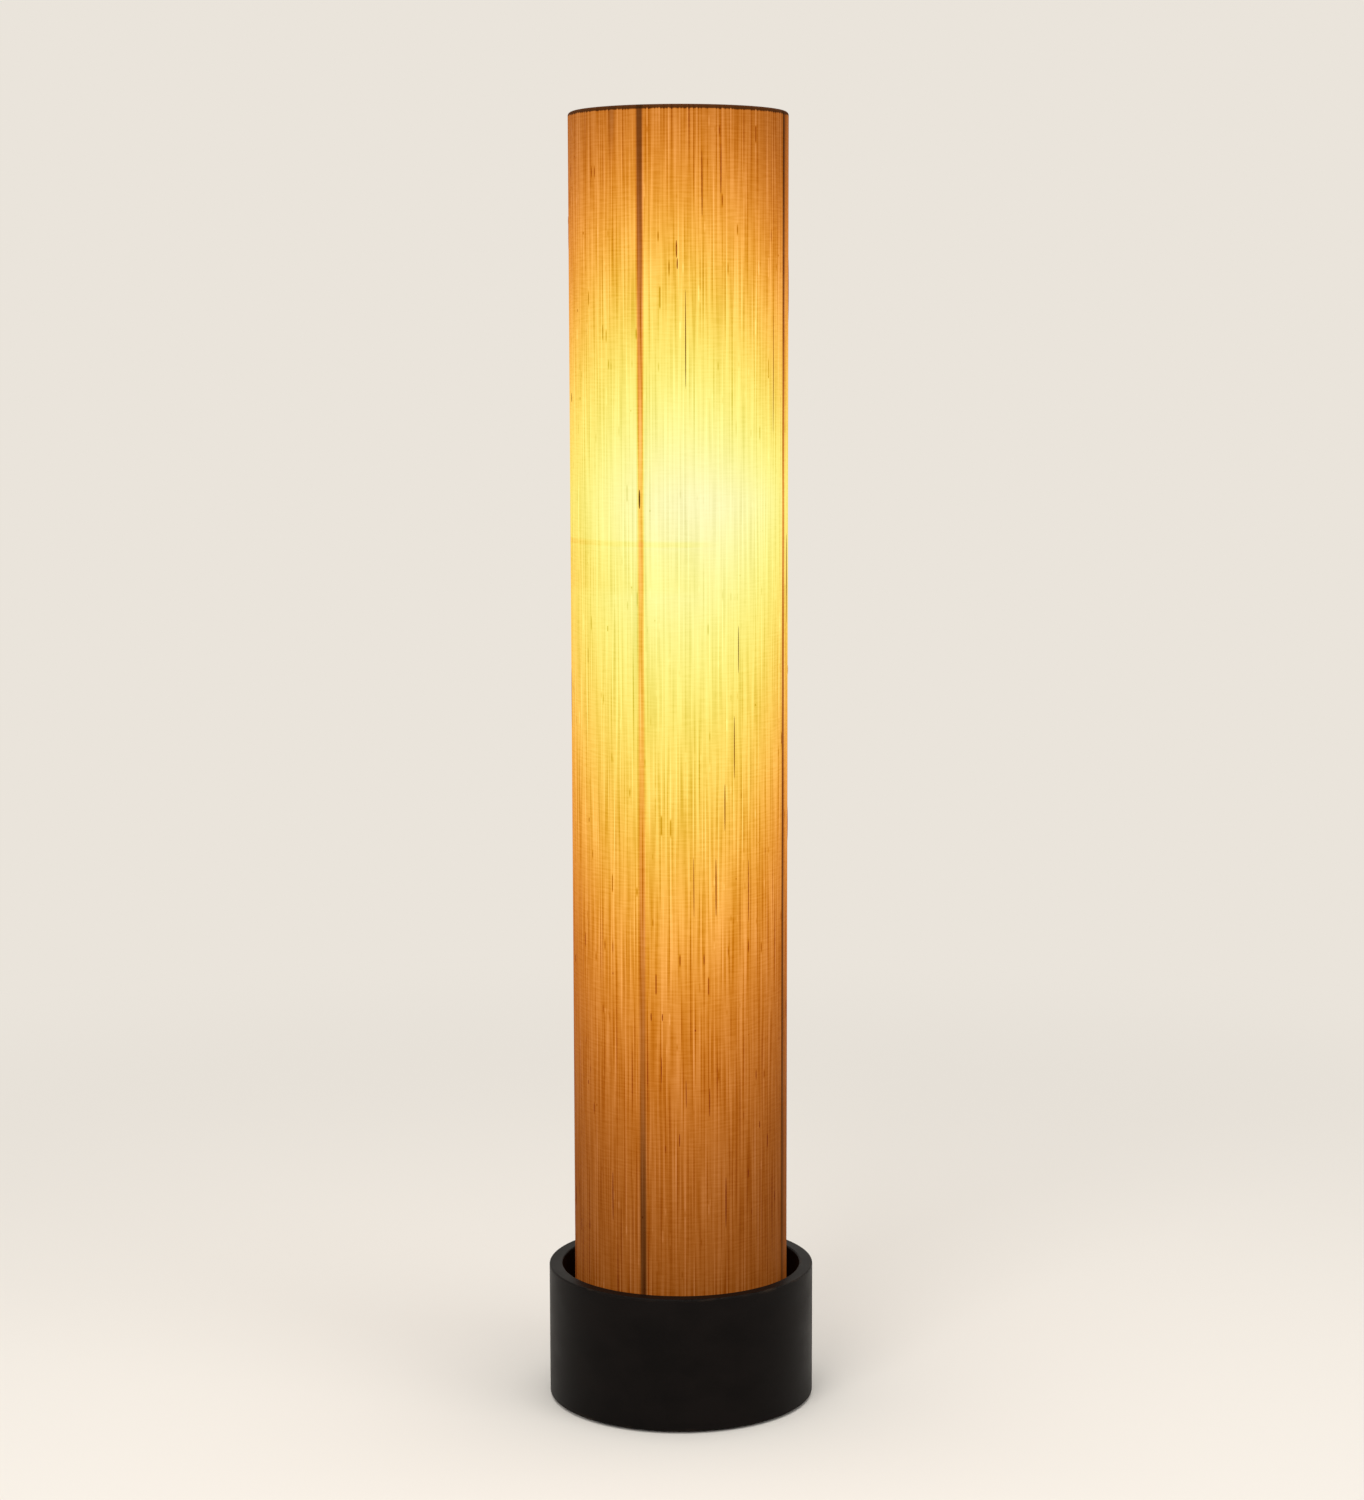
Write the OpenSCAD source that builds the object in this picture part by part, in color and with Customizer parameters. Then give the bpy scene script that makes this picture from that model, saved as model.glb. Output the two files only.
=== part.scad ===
// Column floor lamp. A fabric-covered wire frame stands loose in a turned ring base, over a
// stem that carries one upright bulb. Millimetres, +Z up. The origin is on the floor under the
// middle of the base, the front is -Y, and the cord inlet is at the back. Turns about the
// lamp's axis are counted from the front towards +X.

/* [Shade] */
// Height of the lamp, from the floor to the top of the shade
lamp_h = 1220; // [1000:1:1500]
// Outside diameter of the fabric tube
shade_d = 204; // [160:1:260]
// Thickness of the fabric
fabric_t = 0.6; // [0.4:0.1:1]
// Thickness of the clear film that the fabric is laminated to
liner_t = 0.4; // [0.2:0.1:0.8]
// Width of the lap where the fabric's two ends meet
lap_w = 11; // [6:1:20]
// Turn of the lap's outer edge from the front
lap_turn = 74; // [0:1:90]
// Diameter of the frame's wire
wire_d = 4; // [3:0.5:5]
// Height of the frame's middle ring above the floor
mid_ring_z = 826; // [500:1:900]
// Turn of the first upright from the front
upright_turn = -20; // [-50:1:20]

/* [Base] */
// Wall of the ring round the well
ring_wall = 12.7; // [10:0.1:16]
// Wall of the ring below the well, which leaves a ledge for the floor board
foot_wall = 21; // [19:0.5:28]
// Space between the shade and the wall of the well
well_gap = 12.3; // [8:0.1:20]
// Depth of the well, from the rim to the floor board
well_depth = 77; // [50:1:100]
// Thickness of the floor board
board_t = 12; // [12:1:18]
// Clear height of the hollow under the floor board
hollow_h = 32; // [26:1:45]
// Thickness of the cover under the base
cover_t = 6; // [4:0.5:8]
// Outer lip of the ring that hides the cover's edge
lip_w = 8; // [5:0.5:9]
// Rounding of the ring's edges
edge_r = 1.5; // [0.5:0.5:3]
// Diameter of each foot pad
pad_d = 24; // [15:1:30]
// Thickness of each foot pad
pad_t = 2; // [1:0.5:4]
// Bore of the grommet where the cord comes in
inlet_d = 8; // [6:0.5:9]
// Play between the shade's bottom ring and the blocks that it drops over
block_play = 3; // [1:0.5:6]

/* [Stem] */
// Outside diameter of the stem
stem_d = 12.7; // [12.5:0.1:16]
// Diameter of the threaded nipples
nipple_d = 10; // [8:0.5:10.5]
// Bore of the threaded nipples
nipple_bore = 7.6; // [6.5:0.1:7.8]
// Diameter of the stem's foot flange
flange_d = 80; // [70:1:110]
// Thickness of the stem's foot flange
flange_t = 4; // [3:0.5:6]
// Height of the collar that the stem stands in
collar_h = 16; // [12:1:30]
// Diameter of the lead inside the stem
lead_d = 5; // [4:0.5:5.5]

/* [Bulb] */
// Height of the middle of the bulb's globe above the floor
bulb_z = 858; // [700:1:950]
// Diameter of the bulb's globe
globe_d = 60; // [48:1:75]
// Length of the bulb over all
bulb_len = 105; // [95:1:130]
// Diameter of the bulb's screw cap
cap_d = 26; // [26:0.1:26.4]
// Height of the bulb's cap, contact included
cap_h = 27; // [25:0.5:28]

/* [Hidden] */
$fn = 96;

// Clearances: threads and sleeves, boards in their seats, soft pieces, glued or coated faces.
thread_gap = 0.05;
board_gap = 0.4;
soft_gap = 0.3;
coat_gap = 0.05;

// Base, from the floor up.
ring_z0 = pad_t;
hollow_z = ring_z0 + cover_t;
board_z = hollow_z + hollow_h;
well_z = board_z + board_t;
ring_z1 = well_z + well_depth;
ring_r = shade_d / 2 + well_gap + ring_wall;
well_r = ring_r - ring_wall;
hollow_r = ring_r - foot_wall;
rebate_r = ring_r - lip_w;

// Wood screws: head diameter and shank diameter, with their lengths at each place.
head_d = 7;
shank_d = 3.5;
cone_h = (head_d - shank_d) / 2;
tip_d = 0.6;
recess_w = 1.1;
recess_l = 4;
recess_h = 1.4;
board_screw_len = board_t + 14;
board_screw_r = (hollow_r + well_r) / 2;
cover_screw_len = cover_t + 12;
cover_screw_r = (hollow_r + rebate_r) / 2;
corner_count = 4;
corner_turn = 45;
pad_turn = 0;
pad_r = rebate_r - pad_d / 2 - 9;

// Cord inlet, through the ring's back wall at the middle of the hollow.
inlet_z = hollow_z + hollow_h / 2;
grommet_wall = 3;
grommet_d = inlet_d + 2 * grommet_wall;
grommet_flange_d = grommet_d + 6;
grommet_flange_t = 2.5;
grommet_sink = 3.5;
grommet_stand = 2;
flange_y = sqrt(pow(ring_r, 2) - pow(grommet_flange_d / 2, 2)) - grommet_sink;

// Frame of the shade. The rings and uprights lie against the film, and the fabric rolls over
// the two end rings.
fabric_r = shade_d / 2;
film_r = fabric_r - fabric_t;
wire_r = wire_d / 2;
frame_r = film_r - liner_t - coat_gap - wire_r;
roll_r = fabric_r - frame_r;
roll_end = 215;
upright_count = 3;
bottom_ring_z = well_z + soft_gap + roll_r;
top_ring_z = lamp_h - roll_r;
mid_ring_r = frame_r - wire_d - coat_gap;
liner_short = 0.5;
lap_angle = lap_w / fabric_r * 180 / PI;

// Blocks on the floor board that keep the shade near the middle.
block_l = 24;
block_w = 12;
block_h = 10;
block_r = frame_r - roll_r - block_play;
block_screw_len = block_h + board_t / 2;

// Stem and its fastenings.
thread_d = nipple_d + 2 * thread_gap;
flange_z = well_z + flange_t;
washer_t = 1.5;
washer_d = nipple_d * 2;
nut_h = 5;
nut_af = nipple_d * 1.7;
nipple_stand = 1.5;
lower_nipple_z = board_z - washer_t - nut_h - nipple_stand;
nipple_grip = 20;
collar_d = stem_d + 10;
flange_screw_count = 3;
flange_screw_turn = 30;
flange_screw_r = (collar_d + flange_d) / 4;
flange_screw_len = flange_t + board_t / 2;
set_screw_d = 4;
set_screw_z = flange_z + collar_h / 2;

// Bulb and lampholder, counted from the bulb's centre contact.
contact_z = bulb_z + globe_d / 2 - bulb_len;
cap_r = cap_d / 2;
cap_top = contact_z + cap_h;
neck_r = cap_r - 0.8;
neck_t = 0.8;
flare_r = cap_r + 1;
flare_z = cap_top + 2;
thread_z = contact_z + 7;
insulator_z = contact_z + 1.2;
contact_r = 3.2;
holder_z = contact_z - 24;
holder_r = cap_r + 6.5;
holder_wall = 2.5;
holder_floor = 3;
holder_foot_r = 9;
holder_joint_z = holder_z + 15;
core_z = holder_z + 11;
core_t = 11;
core_collar = 12;
core_r = holder_r - holder_wall - 0.3;
sleeve_t = 0.5;
sleeve_r = cap_r + 0.1;
sleeve_z = contact_z + 5;
terminal_x = 10;
terminal_screw_d = 3;
terminal_screw_head = 5.6;
nipple_top = holder_z + holder_floor + 3;

// Light-giving rods in the bulb, round a thin glass rod.
filament_count = 4;
filament_turn = 45;
filament_r = 8;
filament_d = 1.8;
filament_len = 30;
filament_z = bulb_z - filament_len / 2;
spoke_d = 0.8;
mount_r = 4;
mount_rod_r = 1.5;
mount_top = filament_z - 10;

// Terminal block under the floor board: its box, its two poles and their screws.
block_y = 50;
block_width = 22;
block_depth = 16;
block_height = 14;
pole_x = 6.5;
pole_z = board_z - 8;
pole_d = 5;
pole_bore = 3;
pole_screw_y = 4;
pole_screw_d = 2;
pole_screw_head = 3;
fixing_len = block_height + board_t / 2;

// Lead: down the stem, round a bend under the lower nipple, and back to the terminal block.
lead_top = core_z - 3.3;
lead_step = 12.5;
lead_sides = 8;
bend_r = 13;
bend_low_z = lower_nipple_z - bend_r;
core_d = 1.8;
core_x = 1.2;
lead_end_y = block_y - 6;

// Turns a piece from the front to the given turn, at radius r and height z.
module around(turn, r = 0, z = 0) {
    rotate([0, 0, turn - 90])
        translate([r, 0, z])
            children();
}

// A solid or hollow round bar between two heights.
module tube(r, z0, z1, bore_r = 0) {
    difference() {
        translate([0, 0, z0])
            cylinder(h = z1 - z0, r = r);
        if (bore_r > 0)
            translate([0, 0, z0 - 1])
                cylinder(h = z1 - z0 + 2, r = bore_r);
    }
}

// A straight wire from point p to point q.
module wire(p, q, d) {
    v = q - p;
    translate(p)
        rotate([0, acos(v[2] / norm(v)), atan2(v[1], v[0])])
            cylinder(h = norm(v), d = d);
}

// What rounding takes off an outline's corner at [x, z]; the outline lies towards -sx, -sz.
module eased_corner(x, z, sx, sz, r) {
    translate([x, z])
        mirror([sx < 0 ? 1 : 0, 0])
            mirror([0, sz < 0 ? 1 : 0])
                difference() {
                    translate([-r, -r])
                        square(r + 1);
                    translate([-r, -r])
                        circle(r);
                }
}

// A countersunk wood screw, head up at the origin, with a cross recess.
module wood_screw(len) {
    difference() {
        union() {
            translate([0, 0, -cone_h])
                cylinder(h = cone_h, d1 = shank_d, d2 = head_d);
            translate([0, 0, shank_d - len])
                cylinder(h = len - shank_d - cone_h, d = shank_d);
            translate([0, 0, -len])
                cylinder(h = shank_d, d1 = tip_d, d2 = shank_d);
        }
        for (a = [0, 90])
            rotate([0, 0, a])
                translate([-recess_l / 2, -recess_w / 2, -recess_h])
                    cube([recess_l, recess_w, recess_h + 1]);
    }
}

// The hole that such a screw fills.
module wood_screw_hole(len) {
    hole_d = shank_d + 2 * thread_gap;
    mouth_d = head_d + 2 * thread_gap;
    translate([0, 0, -cone_h])
        cylinder(h = cone_h, d1 = hole_d, d2 = mouth_d);
    translate([0, 0, -len - 0.5])
        cylinder(h = len, d = hole_d);
    cylinder(h = 1, d = mouth_d);
}

// A cheese-head machine screw, head up from the origin, with a slot.
module machine_screw(len, d, big_d, head_h, slot_w) {
    difference() {
        union() {
            translate([0, 0, -len])
                cylinder(h = len, d = d);
            cylinder(h = head_h, d = big_d);
        }
        translate([-big_d, -slot_w / 2, head_h / 2])
            cube([big_d * 2, slot_w, head_h]);
    }
}

// Repeats a piece at even turns.
module each_turn(count, first, r, z = 0) {
    for (k = [0:count - 1])
        around(first + k * 360 / count, r, z)
            children();
}

module base_ring() {
    color([0.05, 0.045, 0.04])
        difference() {
            rotate_extrude()
                difference() {
                    translate([hollow_r, ring_z0])
                        square([ring_r - hollow_r, ring_z1 - ring_z0]);
                    translate([hollow_r - 1, board_z])
                        square([well_r - hollow_r + 1, ring_z1]);
                    translate([hollow_r - 1, ring_z0 - 1])
                        square([rebate_r - hollow_r + 1, cover_t + 1]);
                    eased_corner(ring_r, ring_z1, 1, 1, edge_r);
                    eased_corner(well_r, ring_z1, -1, 1, edge_r);
                    eased_corner(ring_r, ring_z0, 1, -1, edge_r);
                }
            each_turn(corner_count, corner_turn, board_screw_r, well_z)
                wood_screw_hole(board_screw_len);
            each_turn(corner_count, corner_turn, cover_screw_r, ring_z0)
                mirror([0, 0, 1])
                    wood_screw_hole(cover_screw_len);
            translate([0, hollow_r - 5, inlet_z])
                rotate([-90, 0, 0])
                    cylinder(h = foot_wall + 10, d = grommet_d + 2 * thread_gap);
            translate([0, flange_y, inlet_z])
                rotate([-90, 0, 0])
                    cylinder(h = foot_wall, d = grommet_flange_d + 2 * thread_gap);
        }
}

module floor_board() {
    color([0.55, 0.42, 0.28])
        difference() {
            tube(well_r - board_gap, board_z, well_z, thread_d / 2);
            each_turn(corner_count, corner_turn, board_screw_r, well_z)
                wood_screw_hole(board_screw_len);
            each_turn(flange_screw_count, flange_screw_turn, flange_screw_r, flange_z)
                wood_screw_hole(flange_screw_len);
            each_block(block_w / 2, block_h)
                wood_screw_hole(block_screw_len);
            terminal_fixing()
                wood_screw_hole(fixing_len);
        }
}

module board_screws() {
    color([0.7, 0.7, 0.72])
        each_turn(corner_count, corner_turn, board_screw_r, well_z)
            wood_screw(board_screw_len);
}

module bottom_cover() {
    color([0.3, 0.22, 0.15])
        difference() {
            tube(rebate_r - board_gap, ring_z0, hollow_z);
            each_turn(corner_count, corner_turn, cover_screw_r, ring_z0)
                mirror([0, 0, 1])
                    wood_screw_hole(cover_screw_len);
        }
}

module cover_screws() {
    color([0.7, 0.7, 0.72])
        each_turn(corner_count, corner_turn, cover_screw_r, ring_z0)
            mirror([0, 0, 1])
                wood_screw(cover_screw_len);
}

module foot_pads() {
    color([0.12, 0.12, 0.12])
        each_turn(corner_count, pad_turn, pad_r)
            cylinder(h = pad_t, d = pad_d);
}

module cord_grommet() {
    color([0.08, 0.08, 0.08])
        translate([0, flange_y, inlet_z])
            rotate([-90, 0, 0])
                difference() {
                    body_l = flange_y - hollow_r + grommet_stand;
                    union() {
                        cylinder(h = grommet_flange_t, d = grommet_flange_d);
                        translate([0, 0, -body_l])
                            cylinder(h = body_l + 1, d = grommet_d);
                    }
                    translate([0, 0, -body_l - 1])
                        cylinder(h = body_l + grommet_flange_t + 2, d = inlet_d);
                }
}

// Repeats a piece at both poles of the terminal block, at the block's near face.
module each_pole(z) {
    for (side = [-1, 1])
        translate([side * pole_x, block_y, z])
            children();
}

// Repeats a piece at both screws of each pole.
module each_pole_screw(z) {
    each_pole(z)
        for (side = [-1, 1])
            translate([0, block_depth / 2 + side * pole_screw_y, 0])
                children();
}

// Two poles, each with a brass tube along Y and two screws from below, and a hole between.
module terminal_block() {
    color([0.9, 0.88, 0.82])
        difference() {
            translate([-block_width / 2, block_y, board_z - block_height])
                cube([block_width, block_depth, block_height]);
            each_pole(pole_z)
                translate([0, -1, 0])
                    rotate([-90, 0, 0])
                        cylinder(h = block_depth + 2, d = pole_d + 2 * thread_gap);
            each_pole_screw(board_z - block_height - 1)
                cylinder(h = pole_z - board_z + block_height, d = pole_screw_head + 1);
            terminal_fixing()
                wood_screw_hole(fixing_len);
        }
}

module terminal_tubes() {
    color([0.8, 0.65, 0.3])
        difference() {
            each_pole(pole_z)
                translate([0, 0.5, 0])
                    rotate([-90, 0, 0])
                        tube(pole_d / 2, 0, block_depth - 1, pole_bore / 2);
            each_pole_screw(pole_z - pole_d)
                cylinder(h = pole_d, d = pole_screw_d + 2 * thread_gap);
        }
}

module terminal_screws() {
    color([0.7, 0.7, 0.72])
        each_pole_screw(pole_z - pole_d / 2 - 0.7)
            mirror([0, 0, 1])
                machine_screw(2.6, pole_screw_d, pole_screw_head, 2, 0.6);
}

// Places the screw that fixes the terminal block, head down.
module terminal_fixing() {
    translate([0, block_y + block_depth / 2, board_z - block_height])
        mirror([0, 0, 1])
            children();
}

module terminal_fixing_screw() {
    color([0.7, 0.7, 0.72])
        terminal_fixing()
            wood_screw(fixing_len);
}

module stem_flange() {
    color([0.1, 0.1, 0.1])
        difference() {
            rotate_extrude()
                difference() {
                    union() {
                        translate([thread_d / 2, well_z])
                            square([(flange_d - thread_d) / 2, flange_t]);
                        translate([thread_d / 2, well_z])
                            square([(collar_d - thread_d) / 2, flange_t + collar_h]);
                    }
                    translate([0, flange_z])
                        square([stem_d / 2 + thread_gap, collar_h + 1]);
                    eased_corner(flange_d / 2, flange_z, 1, 1, 2);
                    eased_corner(collar_d / 2, flange_z + collar_h, 1, 1, 1.5);
                }
            each_turn(flange_screw_count, flange_screw_turn, flange_screw_r, flange_z)
                wood_screw_hole(flange_screw_len);
            translate([0, 0, set_screw_z])
                rotate([-90, 0, 0])
                    cylinder(h = collar_d, d = set_screw_d + 2 * thread_gap);
        }
}

module flange_screws() {
    color([0.15, 0.15, 0.15])
        each_turn(flange_screw_count, flange_screw_turn, flange_screw_r, flange_z)
            wood_screw(flange_screw_len);
}

// Headless, with its inner end against the stem and a slot in its outer end.
module stem_set_screw() {
    len = (collar_d - stem_d) / 2 - 0.5;
    color([0.25, 0.25, 0.26])
        translate([0, stem_d / 2 + coat_gap, set_screw_z])
            rotate([-90, 0, 0])
                difference() {
                    cylinder(h = len, d = set_screw_d);
                    translate([-set_screw_d, -0.4, len - 1])
                        cube([2 * set_screw_d, 0.8, 2]);
                }
}

module lower_nipple() {
    color([0.75, 0.72, 0.6])
        tube(nipple_d / 2, lower_nipple_z, flange_z + nipple_grip, nipple_bore / 2);
}

module lower_washer() {
    color([0.7, 0.7, 0.72])
        tube(washer_d / 2, board_z - washer_t, board_z, thread_d / 2);
}

module lower_locknut() {
    color([0.75, 0.72, 0.6])
        difference() {
            translate([0, 0, board_z - washer_t - nut_h])
                cylinder(h = nut_h, d = nut_af / cos(30), $fn = 6);
            translate([0, 0, board_z - washer_t - nut_h - 1])
                cylinder(h = nut_h + 2, d = thread_d);
        }
}

module stem_tube() {
    color([0.1, 0.1, 0.1])
        tube(stem_d / 2, flange_z, holder_z, thread_d / 2);
}

module upper_nipple() {
    color([0.75, 0.72, 0.6])
        tube(nipple_d / 2, holder_z - nipple_grip, nipple_top, nipple_bore / 2);
}

// A bowl under the lampholder, with a floor that the upper nipple passes through.
module holder_cap() {
    bowl_z = holder_z + 10;
    inner_r = holder_r - holder_wall;
    color([0.07, 0.07, 0.07])
        rotate_extrude()
            polygon([
                [thread_d / 2, holder_z],
                [holder_foot_r, holder_z],
                [holder_r, bowl_z],
                [holder_r, holder_joint_z],
                [inner_r, holder_joint_z],
                [inner_r, core_z],
                [inner_r - 1, bowl_z],
                [holder_foot_r, holder_z + holder_floor],
                [thread_d / 2, holder_z + holder_floor]
            ]);
}

module holder_shell() {
    lip_r = cap_r + 1.6;
    lip_t = 2;
    color([0.07, 0.07, 0.07])
        rotate_extrude()
            difference() {
                translate([lip_r, holder_joint_z])
                    square([holder_r - lip_r, cap_top - holder_joint_z]);
                translate([0, holder_joint_z - 1])
                    square([holder_r - holder_wall, cap_top - holder_joint_z - lip_t + 1]);
                eased_corner(holder_r, cap_top, 1, 1, 1.5);
            }
}

// A disc that carries the contact, with a collar that holds the screw shell.
module holder_insulator() {
    collar_r = sleeve_r + sleeve_t + thread_gap;
    seat = core_z + core_t;
    color([0.92, 0.9, 0.85])
        difference() {
            rotate_extrude()
                difference() {
                    translate([0, core_z])
                        square([core_r, core_t + core_collar]);
                    translate([0, seat])
                        square([sleeve_r, core_collar + 1]);
                    translate([0, sleeve_z])
                        square([collar_r, core_collar + 1]);
                }
            for (x = [-terminal_x, terminal_x])
                translate([x, 0, core_z - 1])
                    cylinder(h = 7, d = terminal_screw_d + 2 * thread_gap);
        }
}

module holder_screw_shell() {
    color([0.75, 0.72, 0.6])
        tube(sleeve_r + sleeve_t, sleeve_z, cap_top - 2, sleeve_r);
}

// A bent leaf that presses up against the bulb's contact.
module holder_contact() {
    leaf_w = 5;
    leaf_t = 0.6;
    seat = core_z + core_t;
    lift = contact_z - coat_gap;
    color([0.8, 0.55, 0.3])
        translate([0, leaf_w / 2, 0])
            rotate([90, 0, 0])
                linear_extrude(leaf_w)
                    polygon([
                        [-10, seat], [-6, seat], [-2, lift - leaf_t], [3, lift - leaf_t],
                        [3, lift], [-2.3, lift], [-6.2, seat + leaf_t], [-10, seat + leaf_t]
                    ]);
}

module holder_terminal_screws() {
    color([0.8, 0.65, 0.3])
        for (x = [-terminal_x, terminal_x])
            translate([x, 0, core_z])
                mirror([0, 0, 1])
                    machine_screw(5, terminal_screw_d, terminal_screw_head, 1.8, 0.7);
}

// Points of the lead's middle line, all in the plane x = 0, from the lampholder down.
lead_straight = floor((lead_top - lower_nipple_z) / lead_step);
function smooth(t) = t * t * (3 - 2 * t);
lead_points = concat(
    [for (k = [0:lead_straight - 1])
        [0, lead_top - k * (lead_top - lower_nipple_z) / lead_straight]],
    [for (a = [180:18:270])
        [bend_r + bend_r * cos(a), lower_nipple_z + bend_r * sin(a)]],
    [for (t = [0.125:0.125:1])
        [bend_r + t * (lead_end_y - bend_r), bend_low_z + smooth(t) * (pole_z - bend_low_z)]]
);

// A round tube along points [y, z], as one closed mesh.
module swept(points, d, sides) {
    last = len(points) - 1;
    rings = [for (k = [0:last])
        let (
            ahead = points[min(k + 1, last)] - points[max(k - 1, 0)],
            along = ahead / norm(ahead)
        )
        for (s = [0:sides - 1])
            let (
                x = d / 2 * cos(s * 360 / sides),
                up = d / 2 * sin(s * 360 / sides)
            )
            [x, points[k][0] - along[1] * up, points[k][1] + along[0] * up]
    ];
    sides_faces = [for (k = [0:last - 1])
        for (s = [0:sides - 1])
            let (
                a = k * sides + s,
                b = k * sides + (s + 1) % sides
            )
            each [[a, b, b + sides], [a, b + sides, a + sides]]
    ];
    first_cap = [[for (s = [sides - 1:-1:0]) s]];
    last_cap = [[for (s = [0:sides - 1]) last * sides + s]];
    polyhedron(rings, concat(sides_faces, first_cap, last_cap));
}

module internal_lead() {
    color([0.93, 0.93, 0.9])
        swept(lead_points, lead_d, lead_sides);
}

// The lead's two cores, where its sheath ends at each end.
module lead_cores() {
    color([0.45, 0.3, 0.2])
        for (side = [-1, 1]) {
            wire([side * core_x, 0, lead_top + core_d / 2 + coat_gap],
                [side * (terminal_x - 3), 0, lead_top + core_d / 2 + coat_gap], core_d);
            wire([side * core_x, lead_end_y + core_d / 2 + soft_gap, pole_z],
                [side * pole_x, block_y, pole_z], core_d);
        }
}

// Repeats a piece at each locating block, a distance in from its outer face and up from the
// board.
module each_block(inwards, up) {
    each_turn(upright_count, upright_turn + 180 / upright_count, block_r - inwards, well_z + up)
        children();
}

module locating_blocks() {
    color([0.6, 0.45, 0.3])
        difference() {
            each_block(block_w, 0)
                translate([0, -block_l / 2, 0])
                    cube([block_w, block_l, block_h]);
            each_block(block_w / 2, block_h)
                wood_screw_hole(block_screw_len);
        }
}

module block_screws() {
    color([0.7, 0.7, 0.72])
        each_block(block_w / 2, block_h)
            wood_screw(block_screw_len);
}

// Half outline of a globe of radius r, which narrows straight down to its neck. The neck goes
// down into the cap as far as bottom_z.
module globe_outline(r, flare, bottom_r, bottom_z) {
    reach = norm([flare, bulb_z - flare_z]);
    low = acos(r / reach) - atan2(bulb_z - flare_z, flare);
    polygon([
        [0, bulb_z], [0, bottom_z], [bottom_r, bottom_z], [bottom_r, cap_top],
        [flare, flare_z], [r * cos(low), bulb_z + r * sin(low)]
    ]);
    intersection() {
        translate([0, bulb_z])
            circle(r);
        translate([0, bulb_z - r])
            square([r, 2 * r]);
    }
}

module bulb_globe() {
    neck_z = cap_top - 5;
    color([1, 0.95, 0.8, 0.8])
        rotate_extrude()
            difference() {
                globe_outline(globe_d / 2, flare_r, neck_r, neck_z);
                globe_outline(globe_d / 2 - neck_t, flare_r - neck_t, neck_r - neck_t,
                    neck_z - 1);
            }
}

// The glass foot, its pressed stem and the thin rod that carries the wires.
module bulb_mount() {
    foot_z = cap_top - 4;
    foot_t = 2;
    color([0.85, 0.9, 0.9, 0.6])
        union() {
            tube(neck_r - neck_t - coat_gap, foot_z, foot_z + foot_t);
            tube(mount_r, foot_z + foot_t, mount_top);
            tube(mount_rod_r, mount_top, filament_z + filament_len + 4);
        }
}

module bulb_filaments() {
    color([1, 0.8, 0.3])
        each_turn(filament_count, filament_turn, filament_r, filament_z)
            cylinder(h = filament_len, d = filament_d);
}

// Spokes that hold the filaments' ends.
module bulb_wires() {
    color([0.7, 0.7, 0.7])
        for (z = [filament_z - spoke_d / 2, filament_z + filament_len + spoke_d / 2])
            each_turn(filament_count, filament_turn, mount_rod_r + coat_gap, z)
                rotate([0, 90, 0])
                    cylinder(h = filament_r - mount_rod_r, d = spoke_d);
}

module bulb_cap() {
    wall = 0.5;
    low_r = 6;
    cone_z = insulator_z + 1;
    color([0.78, 0.78, 0.76])
        rotate_extrude()
            polygon([
                [low_r, cone_z], [cap_r, thread_z], [cap_r, cap_top], [cap_r - wall, cap_top],
                [cap_r - wall, thread_z + 0.2], [low_r, cone_z + wall + 0.2]
            ]);
}

module bulb_insulator() {
    color([0.06, 0.06, 0.07])
        rotate_extrude()
            polygon([
                [contact_r, insulator_z], [4.5, insulator_z], [6 - coat_gap, insulator_z + 1],
                [6 - coat_gap, insulator_z + 2], [contact_r, insulator_z + 2]
            ]);
}

module bulb_contact() {
    color([0.75, 0.75, 0.75])
        rotate_extrude()
            polygon([
                [0, contact_z], [1.8, contact_z], [contact_r - coat_gap, contact_z + 1],
                [contact_r - coat_gap, insulator_z + 2], [0, insulator_z + 2]
            ]);
}

// One rolled end of the fabric round a ring at height z; up is 1 at the top and 0 below.
module roll_outline(z, up) {
    translate([frame_r, z])
        mirror([0, 1 - up])
            difference() {
                circle(roll_r);
                circle(roll_r - fabric_t);
                polygon([
                    [0, 0], 3 * roll_r * [cos(roll_end), sin(roll_end)],
                    [-roll_r, -3 * roll_r], [3 * roll_r, -3 * roll_r], [3 * roll_r, 0]
                ]);
            }
}

module shade_fabric() {
    color([0.93, 0.8, 0.55])
        union() {
            rotate_extrude() {
                translate([film_r, bottom_ring_z])
                    square([fabric_t, top_ring_z - bottom_ring_z]);
                roll_outline(top_ring_z, 1);
                roll_outline(bottom_ring_z, 0);
            }
            rotate([0, 0, lap_turn - 90])
                rotate_extrude(angle = lap_angle)
                    translate([fabric_r - fabric_t / 2, bottom_ring_z])
                        square([fabric_t * 1.5, top_ring_z - bottom_ring_z]);
        }
}

module shade_liner() {
    color([0.95, 0.93, 0.88, 0.7])
        tube(film_r - coat_gap, bottom_ring_z + liner_short, top_ring_z - liner_short,
            film_r - liner_t);
}

// A ring of the frame's wire.
module wire_ring(r, z) {
    color([0.85, 0.85, 0.83])
        rotate_extrude()
            translate([r, z])
                circle(wire_r);
}

module top_ring() {
    wire_ring(frame_r, top_ring_z);
}

module mid_ring() {
    wire_ring(mid_ring_r, mid_ring_z);
}

module bottom_ring() {
    wire_ring(frame_r, bottom_ring_z);
}

// An upright, butted between the two end rings.
module upright(index) {
    color([0.85, 0.85, 0.83])
        around(upright_turn + index * 360 / upright_count, frame_r, bottom_ring_z + wire_r)
            cylinder(h = top_ring_z - bottom_ring_z - wire_d, r = wire_r);
}

module upright_front() {
    upright(0);
}

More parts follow.
